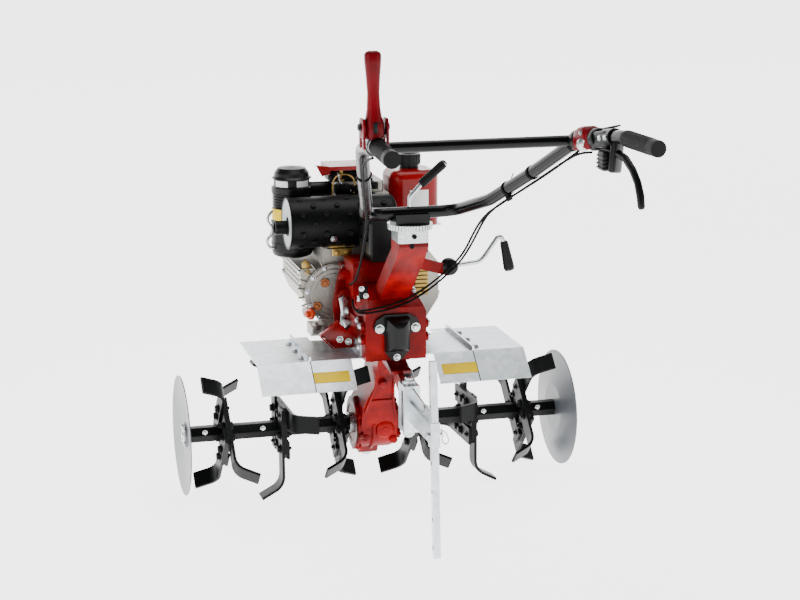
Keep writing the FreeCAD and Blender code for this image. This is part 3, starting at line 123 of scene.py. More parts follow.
# %% [markdown]
# ## Materials from nodes
# Every finish is a small tree of shader nodes. It could be a painted picture instead, but a
# pattern in Object coordinates keeps its real size and stays on its piece when the machine moves.

# %% Colour and node helpers
def linear(colour):
    """An sRGB hex colour as linear RGBA."""
    parts = [int(colour[i:i + 2], 16) / 255 for i in (1, 3, 5)]
    return tuple(p / 12.92 if p <= 0.04045 else ((p + 0.055) / 1.055) ** 2.4 for p in parts) + (1,)


def node(tree, kind, links=(), **settings):
    """Adds one shader node: settings are its properties or inputs, links are (input, socket) pairs."""
    new = tree.nodes.new("ShaderNode" + kind)

    def socket_named(name):
        return [s for s in new.inputs if s.name == name and s.enabled][0]

    for name, value in settings.items():
        if hasattr(new, name):
            setattr(new, name, value)
        else:
            socket_named(name.replace("_", " ")).default_value = value
    for name, socket in links:
        tree.links.new(socket, socket_named(name))
    return new


def blank_material(name):
    """A new empty material and its tree."""
    material = bpy.data.materials.new(name)
    material.use_nodes = True
    material.node_tree.nodes.clear()
    return material, material.node_tree


def placed(tree, scale=(1, 1, 1)):
    """Object coordinates through a Mapping node, which may stretch the pattern."""
    where = node(tree, "TexCoord")
    return node(tree, "Mapping", [("Vector", where.outputs["Object"])], Scale=scale).outputs[0]


def tinted(tree, factor, dark, light):
    """A colour that goes from dark to light with a factor."""
    tint = node(tree, "Mix", [("Factor", factor)], data_type="RGBA")
    tint.inputs[6].default_value = linear(dark)
    tint.inputs[7].default_value = linear(light)
    return tint.outputs[2]


def bumped(tree, height, strength, depth_mm):
    """A surface direction that follows a height pattern."""
    return node(tree, "Bump", [("Height", height)], Strength=strength,
                Distance=depth_mm / 1000).outputs[0]


def surfaced(tree, links, **settings):
    """Ends a material: a Principled surface joined to the output."""
    shader = node(tree, "BsdfPrincipled", links, **settings)
    node(tree, "OutputMaterial", [("Surface", shader.outputs[0])])


# %% [markdown]
# ## Studio
# A plane and a wall would show their corner as a horizon. A studio rolls its paper down in one
# sweep, so here one profile line is pulled sideways and its fold is rounded.

# %% Sweep
def only(kind, geometry):
    """The parts of one kind, Vert, Edge or Face, among the results of a bmesh operator."""
    return [item for item in geometry if isinstance(item, getattr(bmesh.types, "BM" + kind))]


studio_paint, tree = blank_material("studio_paint")
grain = node(tree, "TexNoise", [("Vector", placed(tree))], Scale=4.0)
surfaced(tree, [("Base Color", tinted(tree, grain.outputs["Fac"], "#f4f4f4", "#f8f8f8"))], Roughness=0.9,
         Specular_IOR_Level=0.0, Emission_Color=(1, 1, 1, 1), Emission_Strength=3.3)

HALF_WIDE, FOLD_Y, WALL = 40, 12, (20, 12)
sweep = bmesh.new()
row = [sweep.verts.new((-HALF_WIDE, y, z)) for y, z in [(-HALF_WIDE, 0), (FOLD_Y, 0), WALL]]
edges = [sweep.edges.new(pair) for pair in zip(row, row[1:])]
grown = ops.extrude_edge_only(sweep, edges=edges)["geom"]
ops.translate(sweep, vec=(2 * HALF_WIDE, 0, 0), verts=only("Vert", grown))
fold = [e for e in sweep.edges if all(abs(v.co.y - FOLD_Y) < 1e-6 for v in e.verts)]
ops.bevel(sweep, geom=fold, offset=3, segments=24, profile=0.5, affect="EDGES", material=-1)
ops.recalc_face_normals(sweep, faces=sweep.faces)
sweep_mesh = bpy.data.meshes.new("studio_sweep")
sweep.to_mesh(sweep_mesh)
sweep.free()
sweep_mesh.shade_smooth()
sweep_mesh.materials.append(studio_paint)
floor = new_object("studio_sweep", sweep_mesh)
floor.location.z = cad_box[0][2] - 0.0005
print("studio sweep faces:", len(sweep_mesh.polygons))

# %% [markdown]
# Sunlight would draw hard shadows under the tines. Three big soft lights and a bright surround
# leave faint ones, and long highlights on the paint.

# %% Lights
world = bpy.data.worlds.new("studio_air")
bpy.context.scene.world = world
world.use_nodes = True
surround = world.node_tree.nodes["Background"]
surround.inputs[0].default_value = linear("#ffffff")
surround.inputs[1].default_value = 0.2


def softbox(name, place, aim, size, power):
    """A rectangular area light at a place, turned to its aim."""
    data = bpy.data.lights.new(name, "AREA")
    data.energy = power
    data.shape = "RECTANGLE"
    data.size, data.size_y = size
    look(new_object(name, data), place, aim)
    print(name, "watts:", power)


softbox("top_light", (0.2, 0.4, 3.4), (0, 0.3, 0.5), (2.0, 2.0), 62)
softbox("left_light", (-3.2, -2.4, 2.2), (0, 0.2, 0.6), (1.0, 2.0), 34)
softbox("right_light", (2.8, -3.0, 1.8), (0, 0.2, 0.6), (1.0, 2.0), 16)

# %% [markdown]
# ## Finishes
# Sprayed enamel is never quite even: a casting shows its sand grain through the paint, and sheet a
# slight orange peel. One flat colour would look like plastic, so a slow noise shifts tone and
# gloss, and a fine noise makes the skin.

# %% Enamel
def enamel(name, colour, dark, grain_mm, depth, roughness, coat, gleam):
    """Enamel: a slightly uneven colour, a sand-cast or orange-peel skin and a clear gloss."""
    material, tree = blank_material(name)
    where = placed(tree)
    cloud = node(tree, "TexNoise", [("Vector", where)], Scale=14.0, Detail=3.0)
    spread = node(tree, "MapRange", [("Value", cloud.outputs["Fac"])], From_Min=0.35, From_Max=0.7)
    skin = node(tree, "TexNoise", [("Vector", where)], Scale=1000 / grain_mm, Detail=4.0)
    shine = node(tree, "MapRange", [("Value", cloud.outputs["Fac"])],
                 To_Min=roughness - 0.06, To_Max=roughness + 0.08)
    surfaced(
        tree,
        [("Base Color", tinted(tree, spread.outputs[0], dark, colour)), ("Roughness", shine.outputs[0]),
         ("Normal", bumped(tree, skin.outputs["Fac"], 0.5, depth))],
        Coat_Weight=coat, Coat_Roughness=0.12, Specular_IOR_Level=gleam,
    )
    return material


red_casting = enamel("red_enamel_casting", "#8a0001", "#4e0001", 6.0, 1.1, 0.34, 0.05, 0.08)
red_sheet = enamel("red_enamel_sheet", "#8a0103", "#780102", 2.5, 0.12, 0.22, 0.12, 0.15)
black_tube = enamel("black_enamel_tube", "#040506", "#020303", 2.5, 0.1, 0.24, 0.06, 0.14)
black_steel = enamel("black_enamel_steel", "#060708", "#030404", 5.0, 0.35, 0.42, 0.0, 0.12)
red_plastic = enamel("red_moulding", "#6e0410", "#58030c", 1.8, 0.08, 0.34, 0.05, 0.1)
ground_steel = enamel("bright_steel_disc", "#53575c", "#4d5156", 40.0, 0.05, 0.34, 0.0, 0.5)
satin = enamel("satin_aluminium", "#a9adb1", "#9fa3a7", 3.0, 0.05, 0.4, 0.0, 0.4)


# %% [markdown]
# Hot-dip zinc freezes into crystal spangles, and bright zinc plate keeps the fine marks of the
# drawn steel. A Voronoi pattern gives spangles with straight borders, and a noise stretched along
# one axis gives the marks.

# %% Plated steel
def plated(name, colour, dark, cell_mm, roughness, streak):
    """Zinc: patches of slightly different tone, with fine drawn streaks."""
    material, tree = blank_material(name)
    cells = node(tree, "TexVoronoi", [("Vector", placed(tree))], Scale=1000 / cell_mm)
    tone = node(tree, "SeparateColor", [("Color", cells.outputs["Color"])])
    drawn = node(tree, "TexNoise", [("Vector", placed(tree, (8, 220, 220)))], Scale=3.0, Detail=4.0)
    shine = node(tree, "MapRange", [("Value", drawn.outputs["Fac"])],
                 To_Min=roughness - 0.08, To_Max=roughness + 0.1)
    surfaced(
        tree,
        [("Base Color", tinted(tree, tone.outputs[0], dark, colour)), ("Roughness", shine.outputs[0]),
         ("Normal", bumped(tree, drawn.outputs["Fac"], 0.4, streak))],
        Metallic=1.0,
    )
    return material


galvanised = plated("galvanised_sheet", "#d6dcdf", "#c0c8cc", 16.0, 0.36, 0.03)
zinc = plated("zinc_plated_steel", "#c9cccd", "#a4a9ab", 3.0, 0.26, 0.03)


# %% [markdown]
# Cast aluminium, brass and copper are left bare on an engine. They are matt and grainy, and dirt
# sits in the pores, so one noise drives both the dark tone and the depth.

# %% Bare castings
def rough_casting(name, colour, dark, grain_mm, depth, roughness):
    """Bare cast metal: a matt grainy skin, darker in its pores."""
    material, tree = blank_material(name)
    pores = node(tree, "TexNoise", [("Vector", placed(tree))], Scale=1000 / grain_mm, Detail=5.0)
    surfaced(
        tree,
        [("Base Color", tinted(tree, pores.outputs["Fac"], dark, colour)),
         ("Normal", bumped(tree, pores.outputs["Fac"], 0.6, depth))],
        Metallic=0.85, Roughness=roughness,
    )
    return material


aluminium = rough_casting("cast_aluminium", "#c0bdb6", "#857f77", 4.0, 0.6, 0.5)
brass = rough_casting("brass_plate", "#b99a55", "#8d7440", 5.0, 0.2, 0.38)
copper = rough_casting("copper_plug", "#8c5230", "#5e341d", 3.0, 0.2, 0.4)


# %% [markdown]
# Plastic and rubber take the leather grain of their steel mould, and have no metal gleam. The
# grain is a fine Voronoi pattern, used only as bump; labels use the same skin, almost flat.

# %% Plastics, rubber and labels
def moulding(name, colour, dark, grain_mm, depth, roughness, gleam):
    """Moulded plastic or rubber: a fine leather grain from the tool."""
    material, tree = blank_material(name)
    where = placed(tree)
    grain = node(tree, "TexVoronoi", [("Vector", where)], Scale=1000 / grain_mm)
    cloud = node(tree, "TexNoise", [("Vector", where)], Scale=25.0, Detail=2.0)
    surfaced(
        tree,
        [("Base Color", tinted(tree, cloud.outputs["Fac"], dark, colour)),
         ("Normal", bumped(tree, grain.outputs["Distance"], 0.35, depth))],
        Roughness=roughness, Specular_IOR_Level=gleam,
    )
    return material


black_plastic = moulding("black_moulding", "#08090b", "#050607", 1.6, 0.08, 0.36, 0.2)
rubber = moulding("black_rubber", "#0a0a0b", "#060607", 1.2, 0.1, 0.55, 0.15)
cable_jacket = moulding("cable_jacket", "#050505", "#030303", 1.0, 0.04, 0.6, 0.06)
orange_plastic = moulding("orange_moulding", "#e8460a", "#d23c06", 1.5, 0.05, 0.4, 0.5)
yellow_label = moulding("yellow_label", "#f4d000", "#eac400", 2.0, 0.01, 0.4, 0.2)
white_label = moulding("white_label", "#f1f1ef", "#e8e8e6", 2.0, 0.01, 0.4, 0.5)

# %% [markdown]
# Each solid has one finish, because each is one real part. A table from finish to solids keeps the
# choice in one place, and a solid that is missing from it stops the script.

# %% Dress the solids
finish_of = {
    red_casting: "gearbox_case clutch_housing final_drive_case handlebar_column gear_lever_bracket "
                 "hitch_bracket",
    red_sheet: "head_guard fuel_tank recoil_starter",
    red_plastic: "clutch_lever throttle_block",
    black_tube: "handlebar_tube handlebar_crossbar handlebar_saddle front_bumper",
    black_steel: "left_tine_reel right_tine_reel engine_rails muffler fan_housing right_lever",
    black_plastic: "pto_cap battery_box air_filter fuel_cap right_lever_clamp left_lever_clamp",
    rubber: "left_grip right_grip",
    cable_jacket: "throttle_cable clutch_cable",
    galvanised: "left_fender right_fender left_fender_extension right_fender_extension hitch_arm "
                "drag_bar",
    ground_steel: "left_disc right_disc",
    zinc: "clamp_block clamp_disc gear_lever axle_shaft lock_lever hitch_pin tank_bracket",
    aluminium: "crankcase cylinder cylinder_head",
}
dressed = {name: material for material, names in finish_of.items() for name in names.split()}
for name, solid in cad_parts.items():
    solid.data.materials.clear()
    solid.data.materials.append(dressed[name])
print("dressed solids:", len(dressed), "of", len(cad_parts))

# %% [markdown]
# ## Small pieces
# The solids stop at the main forms. Bolts, clips, labels, pipes and cables are modelled here. Each
# could be built in place, but real fasteners are all alike, so a shape is built once around zero
# and then set down wherever the machine has one.

# %% Setting shapes down
LEFT, RIGHT, BACK, AHEAD, DOWN, UP = (-1, 0, 0), (1, 0, 0), (0, -1, 0), (0, 1, 0), (0, 0, -1), (0, 0, 1)
AS_BUILT = Matrix()
EASE = {"profile": 0.5, "affect": "EDGES", "material": -1}


def frozen(bm):
    """Closes a bmesh into a mesh that can be set down many times."""
    ops.remove_doubles(bm, verts=bm.verts, dist=0.001)
    ops.recalc_face_normals(bm, faces=bm.faces)
    shape = bpy.data.meshes.new("shape")
    bm.to_mesh(shape)
    bm.free()
    return shape


def facing(direction):
    """The turn that stands a shape's Z axis along a direction."""
    return Vector(direction).to_track_quat("Z", "Y").to_matrix().to_4x4()


def spun(degrees, axis):
    """A turn about one axis."""
    return Matrix.Rotation(radians(degrees), 4, axis)


def keep(name, bm, material, body):
    """Makes an object of a finished bmesh, smooth but for its sharp edges, riding on a body."""
    mesh = bpy.data.meshes.new(name)
    bm.to_mesh(mesh)
    bm.free()
    mesh.shade_smooth()
    mesh.set_sharp_from_angle(angle=radians(38))
    mesh.materials.append(material)
    piece = new_object(name, mesh)
    if body:
        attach(piece, body)
    return piece


def set_down(name, spots, material, body="chassis", origin=(0, 0, 0)):
    """One object from shapes: each spot is (shape, place from the origin in mm, direction or turn)."""
    group = bmesh.new()
    for shape, place, direction in spots:
        count = len(group.verts)
        group.from_mesh(shape)
        group.verts.ensure_lookup_table()
        turn = direction if isinstance(direction, Matrix) else facing(direction)
        spot = at(*Vector(origin) + Vector(place))
        matrix = Matrix.Translation(spot) @ turn @ Matrix.Scale(0.001, 4)
        ops.transform(group, matrix=matrix, verts=group.verts[count:])
    print(name, "shapes:", len(spots), "faces:", len(group.faces))
    return keep(name, group, material, body)


def each(shape, places, direction=UP):
    """The same shape at several places."""
    return [(shape, place, direction) for place in places]


def around(axis, centre, radius, degrees):
    """Places on a circle about the x, y or z axis."""
    first, second = [k for k in range(3) if k != "xyz".index(axis)]
    places = []
    for angle in degrees:
        place = Vector(centre)
        place[first] += radius * cos(radians(angle))
        place[second] += radius * sin(radians(angle))
        places.append(place)
    return places


# %% [markdown]
# Four kinds of shape make almost everything: a lathe part, a moulding through rings, a flat plate
# and a rounded block. Ready-made primitives have razor edges that catch no light, so plates and
# blocks have their edges eased, and profiles carry their own chamfers.

# %% Shape helpers
def turned(profile, steps=32, degrees=360):
    """A turned shape: a profile of (radius, height) points spun around Z, closed into a solid."""
    bm = bmesh.new()
    row = [bm.verts.new((r, 0, z)) for r, z in profile]
    edges = [bm.edges.new(pair) for pair in zip(row, row[1:])]
    whole = degrees == 360
    if not whole or profile[0][0] > 0:
        edges.append(bm.edges.new((row[-1], row[0])))
    if not whole:
        start = ops.duplicate(bm, geom=[bm.faces.new(row)])["geom"]
    swept = ops.spin(bm, geom=row + edges, axis=UP, cent=(0, 0, 0), angle=radians(degrees), steps=steps,
                     use_merge=whole)
    if not whole:
        ops.contextual_create(bm, geom=only("Edge", swept["geom_last"]))
        ops.delete(bm, geom=only("Face", start), context="FACES")
    return frozen(bm)


def lofted(stations, squareness=2.6, steps=28):
    """A moulded form through rings: each is (centre, direction, half width, half depth)."""
    bm = bmesh.new()
    rims = []
    power = 2 / squareness
    for centre, direction, half_x, half_y in stations:
        ring = ops.create_circle(bm, segments=steps, radius=1)["verts"]
        for vert in ring:
            x, y = vert.co.x, vert.co.y
            vert.co.x = copysign(abs(x) ** power * half_x, x)
            vert.co.y = copysign(abs(y) ** power * half_y, y)
        ops.transform(bm, matrix=Matrix.Translation(centre) @ facing(direction), verts=ring)
        rims.append({edge for vert in ring for edge in vert.link_edges})
    for low, high in zip(rims, rims[1:]):
        ops.bridge_loops(bm, edges=list(low | high))
    for rim in (rims[0], rims[-1]):
        ops.contextual_create(bm, geom=list(rim))
    return frozen(bm)


def plate(outline, thick, rounding=0.5):
    """A flat plate in its own plane, from Z = 0 up to its thickness, with eased edges."""
    bm = bmesh.new()
    face = bm.faces.new([bm.verts.new((x, y, 0)) for x, y in outline])
    grown = ops.extrude_face_region(bm, geom=[face])["geom"]
    ops.translate(bm, vec=(0, 0, thick), verts=only("Vert", grown))
    ops.bevel(bm, geom=bm.edges[:], offset=rounding, segments=2, clamp_overlap=True, **EASE)
    return frozen(bm)


def panel(half_x, half_y, thick, rounding):
    """A rectangular plate around zero."""
    corners = [(-half_x, -half_y), (half_x, -half_y), (half_x, half_y), (-half_x, half_y)]
    return plate(corners, thick, rounding)


def block(size, rounding=2.0):
    """A rounded block around zero."""
    bm = bmesh.new()
    ops.create_cube(bm, size=1)
    ops.scale(bm, vec=size, verts=bm.verts)
    ops.bevel(bm, geom=bm.edges[:], offset=rounding, segments=3, **EASE)
    return frozen(bm)


# %% [markdown]
# A bolt head is a hexagon on a washer with its corners chamfered, and a nut shows the end of its
# stud. Its thread is too fine to see, so it is left out. A pipe is a spline with a round section,
# because a chain of cylinders would show its joints.

# %% Fasteners and rods
def hex_head(across, height, stud=0.0):
    """A hexagon on its washer, with the end of a stud where it is a nut."""
    bm = bmesh.new()

    def stack(segments, low, high, depth, bottom):
        verts = ops.create_cone(
            bm, cap_ends=True, segments=segments, radius1=low, radius2=high, depth=depth)["verts"]
        ops.translate(bm, vec=(0, 0, bottom + depth / 2), verts=verts)

    washer, corner = 0.12 * across, across / sqrt(3)
    top = washer + height
    stack(24, 0.75 * across, 0.75 * across, washer, 0)
    stack(6, corner, corner, height, washer)
    rim = [e for e in bm.edges if all(abs(v.co.z - top) < 1e-4 for v in e.verts)]
    ops.bevel(bm, geom=rim, offset=0.09 * across, segments=2, **EASE)
    if stud:
        stack(16, 0.3 * across, 0.26 * across, stud, top - 0.5)
    return frozen(bm)


def rod_along(name, points, radius, material, body="chassis", origin=(0, 0, 0)):
    """A bent rod, pipe or cable: a tube along a smooth spline that its points guide."""
    curve = bpy.data.curves.new(name + "_route", "CURVE")
    curve.dimensions = "3D"
    spline = curve.splines.new("NURBS")
    spline.points.add(len(points) - 1)
    for point, place in zip(spline.points, points):
        point.co = (*at(*Vector(origin) + Vector(place)), 1)
    spline.order_u = 3
    spline.use_endpoint_u = True
    spline.resolution_u = 8
    curve.bevel_depth = radius / 1000
    curve.bevel_resolution = 3
    curve.use_fill_caps = True
    route = bpy.data.objects.new(name + "_route", curve)
    mesh = bpy.data.meshes.new_from_object(route)
    bpy.data.objects.remove(route)
    bpy.data.curves.remove(curve)
    bm = bmesh.new()
    bm.from_mesh(mesh)
    bpy.data.meshes.remove(mesh)
    ops.remove_doubles(bm, verts=bm.verts, dist=1e-5)
    ops.recalc_face_normals(bm, faces=bm.faces)
    print(name, "faces:", len(bm.faces))
    return keep(name, bm, material, body)


M6, M8, M10, M12 = hex_head(10, 4), hex_head(13, 5.3), hex_head(17, 6.4), hex_head(19, 7.5)
M10_NUT = hex_head(17, 8.4, 6)
socket_screw = turned([(0, 2.5), (3, 2.5), (3.4, 5.5), (5.5, 5.5), (6.5, 4.6), (6.5, 0), (0, 0)], 20)
pan_screw = turned([(0, 3.2), (2.5, 3.0), (4.4, 1.9), (5.2, 0), (0, 0)], 20)

# %% [markdown]
# ### Tines and axle
# Each bent tine is held to its hub plate by two bolts and nuts. Their 96 places could be typed, but
# they follow from a few sizes: how far a tine sits off the radius, the turn that rests the rotor
# on its tips, and which way each blade faces.

# %% Tine bolts
SIDES = (-1, 1)
INNER, MIDDLE, OUTER = 110, 277, 444
TINE_MIDDLE, TINE_TIP, TINE_HALF_WIDTH = 50, 189, 25
near, far = TINE_MIDDLE - TINE_HALF_WIDTH, TINE_MIDDLE + TINE_HALF_WIDTH
lean = radians(45) - atan2(far, TINE_TIP)
reach = hypot(TINE_TIP, far)
rest_turn = atan2(TINE_TIP - reach * cos(lean), reach * sin(lean) + near)
BOLTS_UP, HEAD_OUT, NUT_IN = (8, 48), 12, 4
OUT_FIRST, IN_FIRST = (1, -1, 1, -1), (-1, 1, -1, 1)
tine_sets = [(-OUTER, 45, OUT_FIRST), (-MIDDLE, 0, OUT_FIRST), (-INNER, 45, IN_FIRST),
             (INNER, 45, OUT_FIRST), (MIDDLE, 0, IN_FIRST), (OUTER, 45, IN_FIRST)]
bolts, nuts = [], []
for x, phase, sides in tine_sets:
    for quarter, side in enumerate(sides):
        turn = radians(phase + 90 * quarter - 90) - rest_turn
        for up in BOLTS_UP:
            y = TINE_MIDDLE * cos(turn) - up * sin(turn)
            z = TINE_MIDDLE * sin(turn) + up * cos(turn) + AXLE_UP
            bolts.append((M12, (x + HEAD_OUT * side, y, z), (side, 0, 0)))
            nuts.append((M10_NUT, (x - NUT_IN * side, y, z), (-side, 0, 0)))
set_down("tine_bolts", bolts, black_steel, "rotor")
set_down("tine_nuts", nuts, black_steel, "rotor")

# %% [markdown]
# The carrier tubes slide over the axle and are locked by small screws, and each side disc sits
# under a flat cap with four screws. A loop over the two sides keeps left and right alike.

# %% Tube screws and disc hubs
set_down("tube_bolts", each(M6, [(x, -20, 208) for x in (-499, -333, 326, 493)], BACK),
         zinc, "rotor")
DISC_CAP_X = 556
hub = turned([(0, 6.6), (9, 6.6), (10.5, 5.4), (11, 3.2), (22, 3.2), (24, 2), (24, 0), (0, 0)], 40)
disc_parts = []
for side in SIDES:
    centre = (side * DISC_CAP_X, 0, AXLE_UP)
    disc_parts += each(hub, [centre], (side, 0, 0))
    disc_parts += each(M6, around("x", centre, 28.5, range(45, 360, 90)), (side, 0, 0))
set_down("disc_hubs", disc_parts, zinc, "rotor")

# %% [markdown]
# ### Castings
# Cast housings are bolted flange to flange. Without their bolts the red mass would look like one
# lump, so each flange has its row, and the covers have their screws and oil plugs.

# %% Gearbox and final drive bolts
flange_bolts = each(M8, [(side * 93, -14, z) for side in SIDES for z in (505, 545, 585, 625, 662)], BACK)
cover_spots = [(-224, 502), (-224, 540), (-195, 550), (-80, 550), (-40, 526), (-40, 502)]
foot_bolts = each(M8, [(x, y, 431) for x in (-50, 50) for y in (-172, -105, -38)], DOWN)
cover_bolts, ear_bolts = [], []
for side in SIDES:
    cover_bolts += each(M8, [(side * 96, y, z) for y, z in cover_spots], (side, 0, 0))
    ear_bolts += each(M6, around("x", (side * 61, 0, AXLE_UP), 58, range(30, 390, 60)), (side, 0, 0))
set_down("gearbox_bolts", flange_bolts + cover_bolts, zinc)
set_down("final_drive_bolts", foot_bolts + ear_bolts, red_casting)
set_down("cover_bolts", each(M10, [(-49, -256, 538), (53, -256, 537)], BACK) + [(M8, (0, -256, 455), BACK)],
         zinc)
set_down("oil_plugs", [
    (hex_head(24, 9), (-25, 0, 114), DOWN),
    (hex_head(19, 8), (60, -150, 620), (0.25, 0, 1)),
], zinc)

# %% [markdown]
# Ribs stiffen a casting where bolts pull on it, and a small anchor on the gearbox holds the ends of
# the cables. They could be cut into the solid, but as thin plates they stay easy to move.

# %% Gearbox ribs and cable anchor
STANDING = spun(90, "X")
left_bracket = plate(
    [(-96, 455), (-118, 470), (-126, 560), (-112, 640), (-96, 668), (-88, 660), (-88, 455)], 6, 1.5)
rib = plate([(0, 0), (0, 26), (-24, 20), (-34, 6), (-34, 0)], 7, 1.2)
ribs = each(rib, [(-86, y, z) for y, z in [(-60, 640), (-60, 588), (-20, 470), (-90, 470)]], STANDING)
set_down("gearbox_ribs", ribs + [(left_bracket, (0, -16, 0), STANDING)], red_casting)
set_down("cable_anchor", [
    (block((24, 8, 34), 2), (-82, -206, 632), UP),
    (block((20, 22, 8), 2), (-82, -196, 616), UP),
], black_steel)
set_down("cable_anchor_bolts", each(M6, [(-88, -210, 643), (-76, -210, 622)], BACK) +
         [(hex_head(9, 14), (-92, -196, 606), UP), (M6, (60, -210, 628), (0, -0.3, 1)),
          (M8, (66, -170, 627), (0, -0.1, 1))], zinc)

# %% [markdown]
# Bent sheet carries the left fender, and flat links reach down to the clutch. Each is drawn as its
# real outline and stood upright, which shows the corners that a row of blocks would lose.

# %% Fender bracket and linkage plates
bracket = plate([(-86, 450), (-142, 450), (-182, 490), (-132, 526), (-108, 500), (-86, 520)], 4, 0.8)
lower_lip = plate([(-146, 452), (-149, 449), (-186, 487), (-183, 491)], 22, 0.8)
upper_lip = plate([(-184, 489), (-186, 493), (-133, 531), (-130, 527)], 22, 0.8)
set_down("fender_bracket", [
    (bracket, (0, -112, 4), STANDING), (lower_lip, (0, -106, 4), STANDING),
    (upper_lip, (0, -106, 4), STANDING),
], red_sheet)
set_down("fender_bracket_bolts", each(M8, [(-128, -116, 480), (-104, -116, 472)], BACK), zinc)
link = plate([(-98, 588), (-84, 596), (-72, 580), (-76, 520), (-70, 458), (-88, 452), (-96, 500), (-92, 548)],
             4, 1)
set_down("linkage_plates", [
    (link, (-22, -70, 0), STANDING),
    (block((6, 46, 60), 2), (-104, -96, 500), (0.2, 0, 1)),
    (M10, (-107, -96, 515), LEFT), (M8, (-107, -80, 486), LEFT),
], zinc)

# %% [markdown]
# The final drive hangs on a leaning leg with cast edges, and its case has a ring of lugs. The leg's
# plates are drawn flat and tilted by one matrix, so that their outlines stay plain numbers.

# %% Final drive ribs
leg_foot = Vector((0, -74, AXLE_UP))
leg_up, leg_back = Vector((0, -0.348, 0.937)), Vector((0, -0.937, -0.348))
leg_plane = Matrix((RIGHT, leg_up, leg_back)).transposed().to_4x4()
lug = turned([(0, 14), (7, 14), (11, 12), (12, 0), (0, 0)], 24)
edge_outlines = [
    ([(-55, 58), (-47, 58), (-26, 145), (-21, 252), (-28, 252), (-33, 145)], 5),
    ([(42, 28), (48, 24), (34, 80), (28, 138), (28, 250), (21, 250), (21, 138), (27, 80)], 5),
    ([(-44, 92), (33, 92), (31, 101), (-42, 101)], 4),
]
leg_parts = [(plate(outline, thick, 1.2), leg_foot, leg_plane) for outline, thick in edge_outlines]
leg_lugs = [leg_foot + Vector((x, 0, 0)) + leg_up * up for x, up in ((-8, 160), (6, 215))]
leg_parts += each(lug, leg_lugs, leg_back)
set_down("drive_leg_ribs", leg_parts, red_casting)

left_ring = turned([(53, 0), (75, 0), (78, 2), (78, 8), (70, 10), (56, 10), (53, 8)], 48)
rear_boss = turned([(0, 12), (8, 12), (9, 10), (22, 9), (26, 6), (28, 0), (0, 0)], 36)
seam = turned([(74, -4), (80, -4), (81, -2), (81, 2), (80, 4), (74, 4)], 40)
case_parts = [(left_ring, (-58, 0, AXLE_UP), LEFT)]
case_parts += each(lug, around("x", (-52, 0, AXLE_UP), 72, (100, 150, 195, 235, 275, 320)), LEFT)
case_parts.append((rear_boss, (12, -72, 196), (0, -1, -0.1)))
case_parts += each(lug, [(-44, -60, 172), (40, -60, 236), (40, -60, 160)], BACK)
case_parts.append((seam, (-20, 0, AXLE_UP), RIGHT))
set_down("drive_case_ribs", case_parts, red_casting)

# %% [markdown]
# ### Engine
# The crankcase has a dished cover with ribs that fan out, copper plugs and an orange oil filler.
# The ribs come from a loop around the cover's middle, as a pattern maker sets them out by angle.

# %% Crankcase cover
COVER = Vector((-110, 26, 580))
set_down("crankcase_screws", each(M6, around("y", COVER, 78, range(78, 239, 32)), BACK), zinc)
RIB_Y = 45
ribs = []
for k, out in enumerate(around("y", (0, 0, 0), 1, range(112, 203, 15))):
    start = Vector((COVER.x, RIB_Y, COVER.z)) + 82 * out
    end = start + out * (26 - 2 * abs(k - 2))
    ribs.append((lofted([(start, out, 8, 2.5), (end, out, 5, 2)], 3), (0, 0, 0), AS_BUILT))
set_down("crankcase_ribs", ribs, aluminium)
plug = turned([(0, 9), (6, 9), (7, 7.5), (7, 5), (12, 5), (13, 4), (13, 0), (0, 0)], 28)
ear = plate([(-10, -24), (12, -24), (16, -6), (8, 14), (-2, 22), (-12, 12)], 6, 1.5)
set_down("lifting_ear", [(ear, (-186, 58, 656), STANDING), (M10, (-184, 51, 640), BACK)], brass)
set_down("copper_plugs", [(plug, (-137, 26, 612), (-0.2, -1, 0)), (plug, (-160, 28, 545), (-0.3, -1, 0))],
         copper)
filler = turned([(0, 24), (7, 24), (9, 22), (9, 12), (15, 12), (17, 10), (17, 3), (14, 0), (0, 0)], 12)
set_down("oil_filler_cap", [(filler, (-176, 22, 524), (-1, -0.45, 0.1))], orange_plastic)
set_down("crankcase_lumps", [
    (block((16, 26, 26), 5), (-166, 44, 470), UP),
    (block((20, 30, 18), 6), (-150, 42, 462), (0.2, 0, 1)),
    (M10, (-160, 44, 484), (-1, -0.5, 0)), (M10, (-140, 42, 470), BACK),
], aluminium)

# %% [markdown]
# The other sides of the crankcase carry cast ribs, bolts and a blank data plate. Those at left and
# right start from its CAD box, so they stay on its faces if the engine is made wider.

# %% Crankcase sides
left_face, right_face = [corner.x for corner in box_mm("crankcase")]
rib_spots = [(x, 172, z) for x in (left_face, right_face) for z in (596, 611, 626, 641)]
side_ribs = each(block((6, 196, 4), 1.2), rib_spots)
side_ribs += each(block((6, 4, 92), 1.2), [(right_face, y, 592) for y in (70, 274)])
set_down("crankcase_side_ribs", side_ribs, aluminium)
side_bolts = each(M8, [(right_face, y, z) for y in (58, 286) for z in (556, 600, 640)], RIGHT)
side_bolts += each(M8, [(left_face, y, z) for y in (58, 286) for z in (596, 640)], LEFT)
side_bolts += each(M10, [(x, y, 415) for x in (-58, 58) for y in (60, 260, 380)], DOWN)
set_down("crankcase_side_bolts", side_bolts, zinc)
front_spots = [(-186, 640), (-180, 596), (-150, 520), (-125, 690),
               (190, 640), (190, 560), (160, 500), (150, 690)]
set_down("crankcase_front_bolts", each(M8, [(x, 300, z) for x, z in front_spots], AHEAD), zinc)
SIDEWAYS = spun(90, "Z") @ spun(90, "X")
set_down("data_plate", [(panel(38, 18, 0.8, 0.3), (right_face, 172, 570), SIDEWAYS)], satin)
tap = turned([(0, -34), (5, -34), (6, -30), (9, -28), (9, -14), (13, -12), (13, 0), (0, 0)], 24)
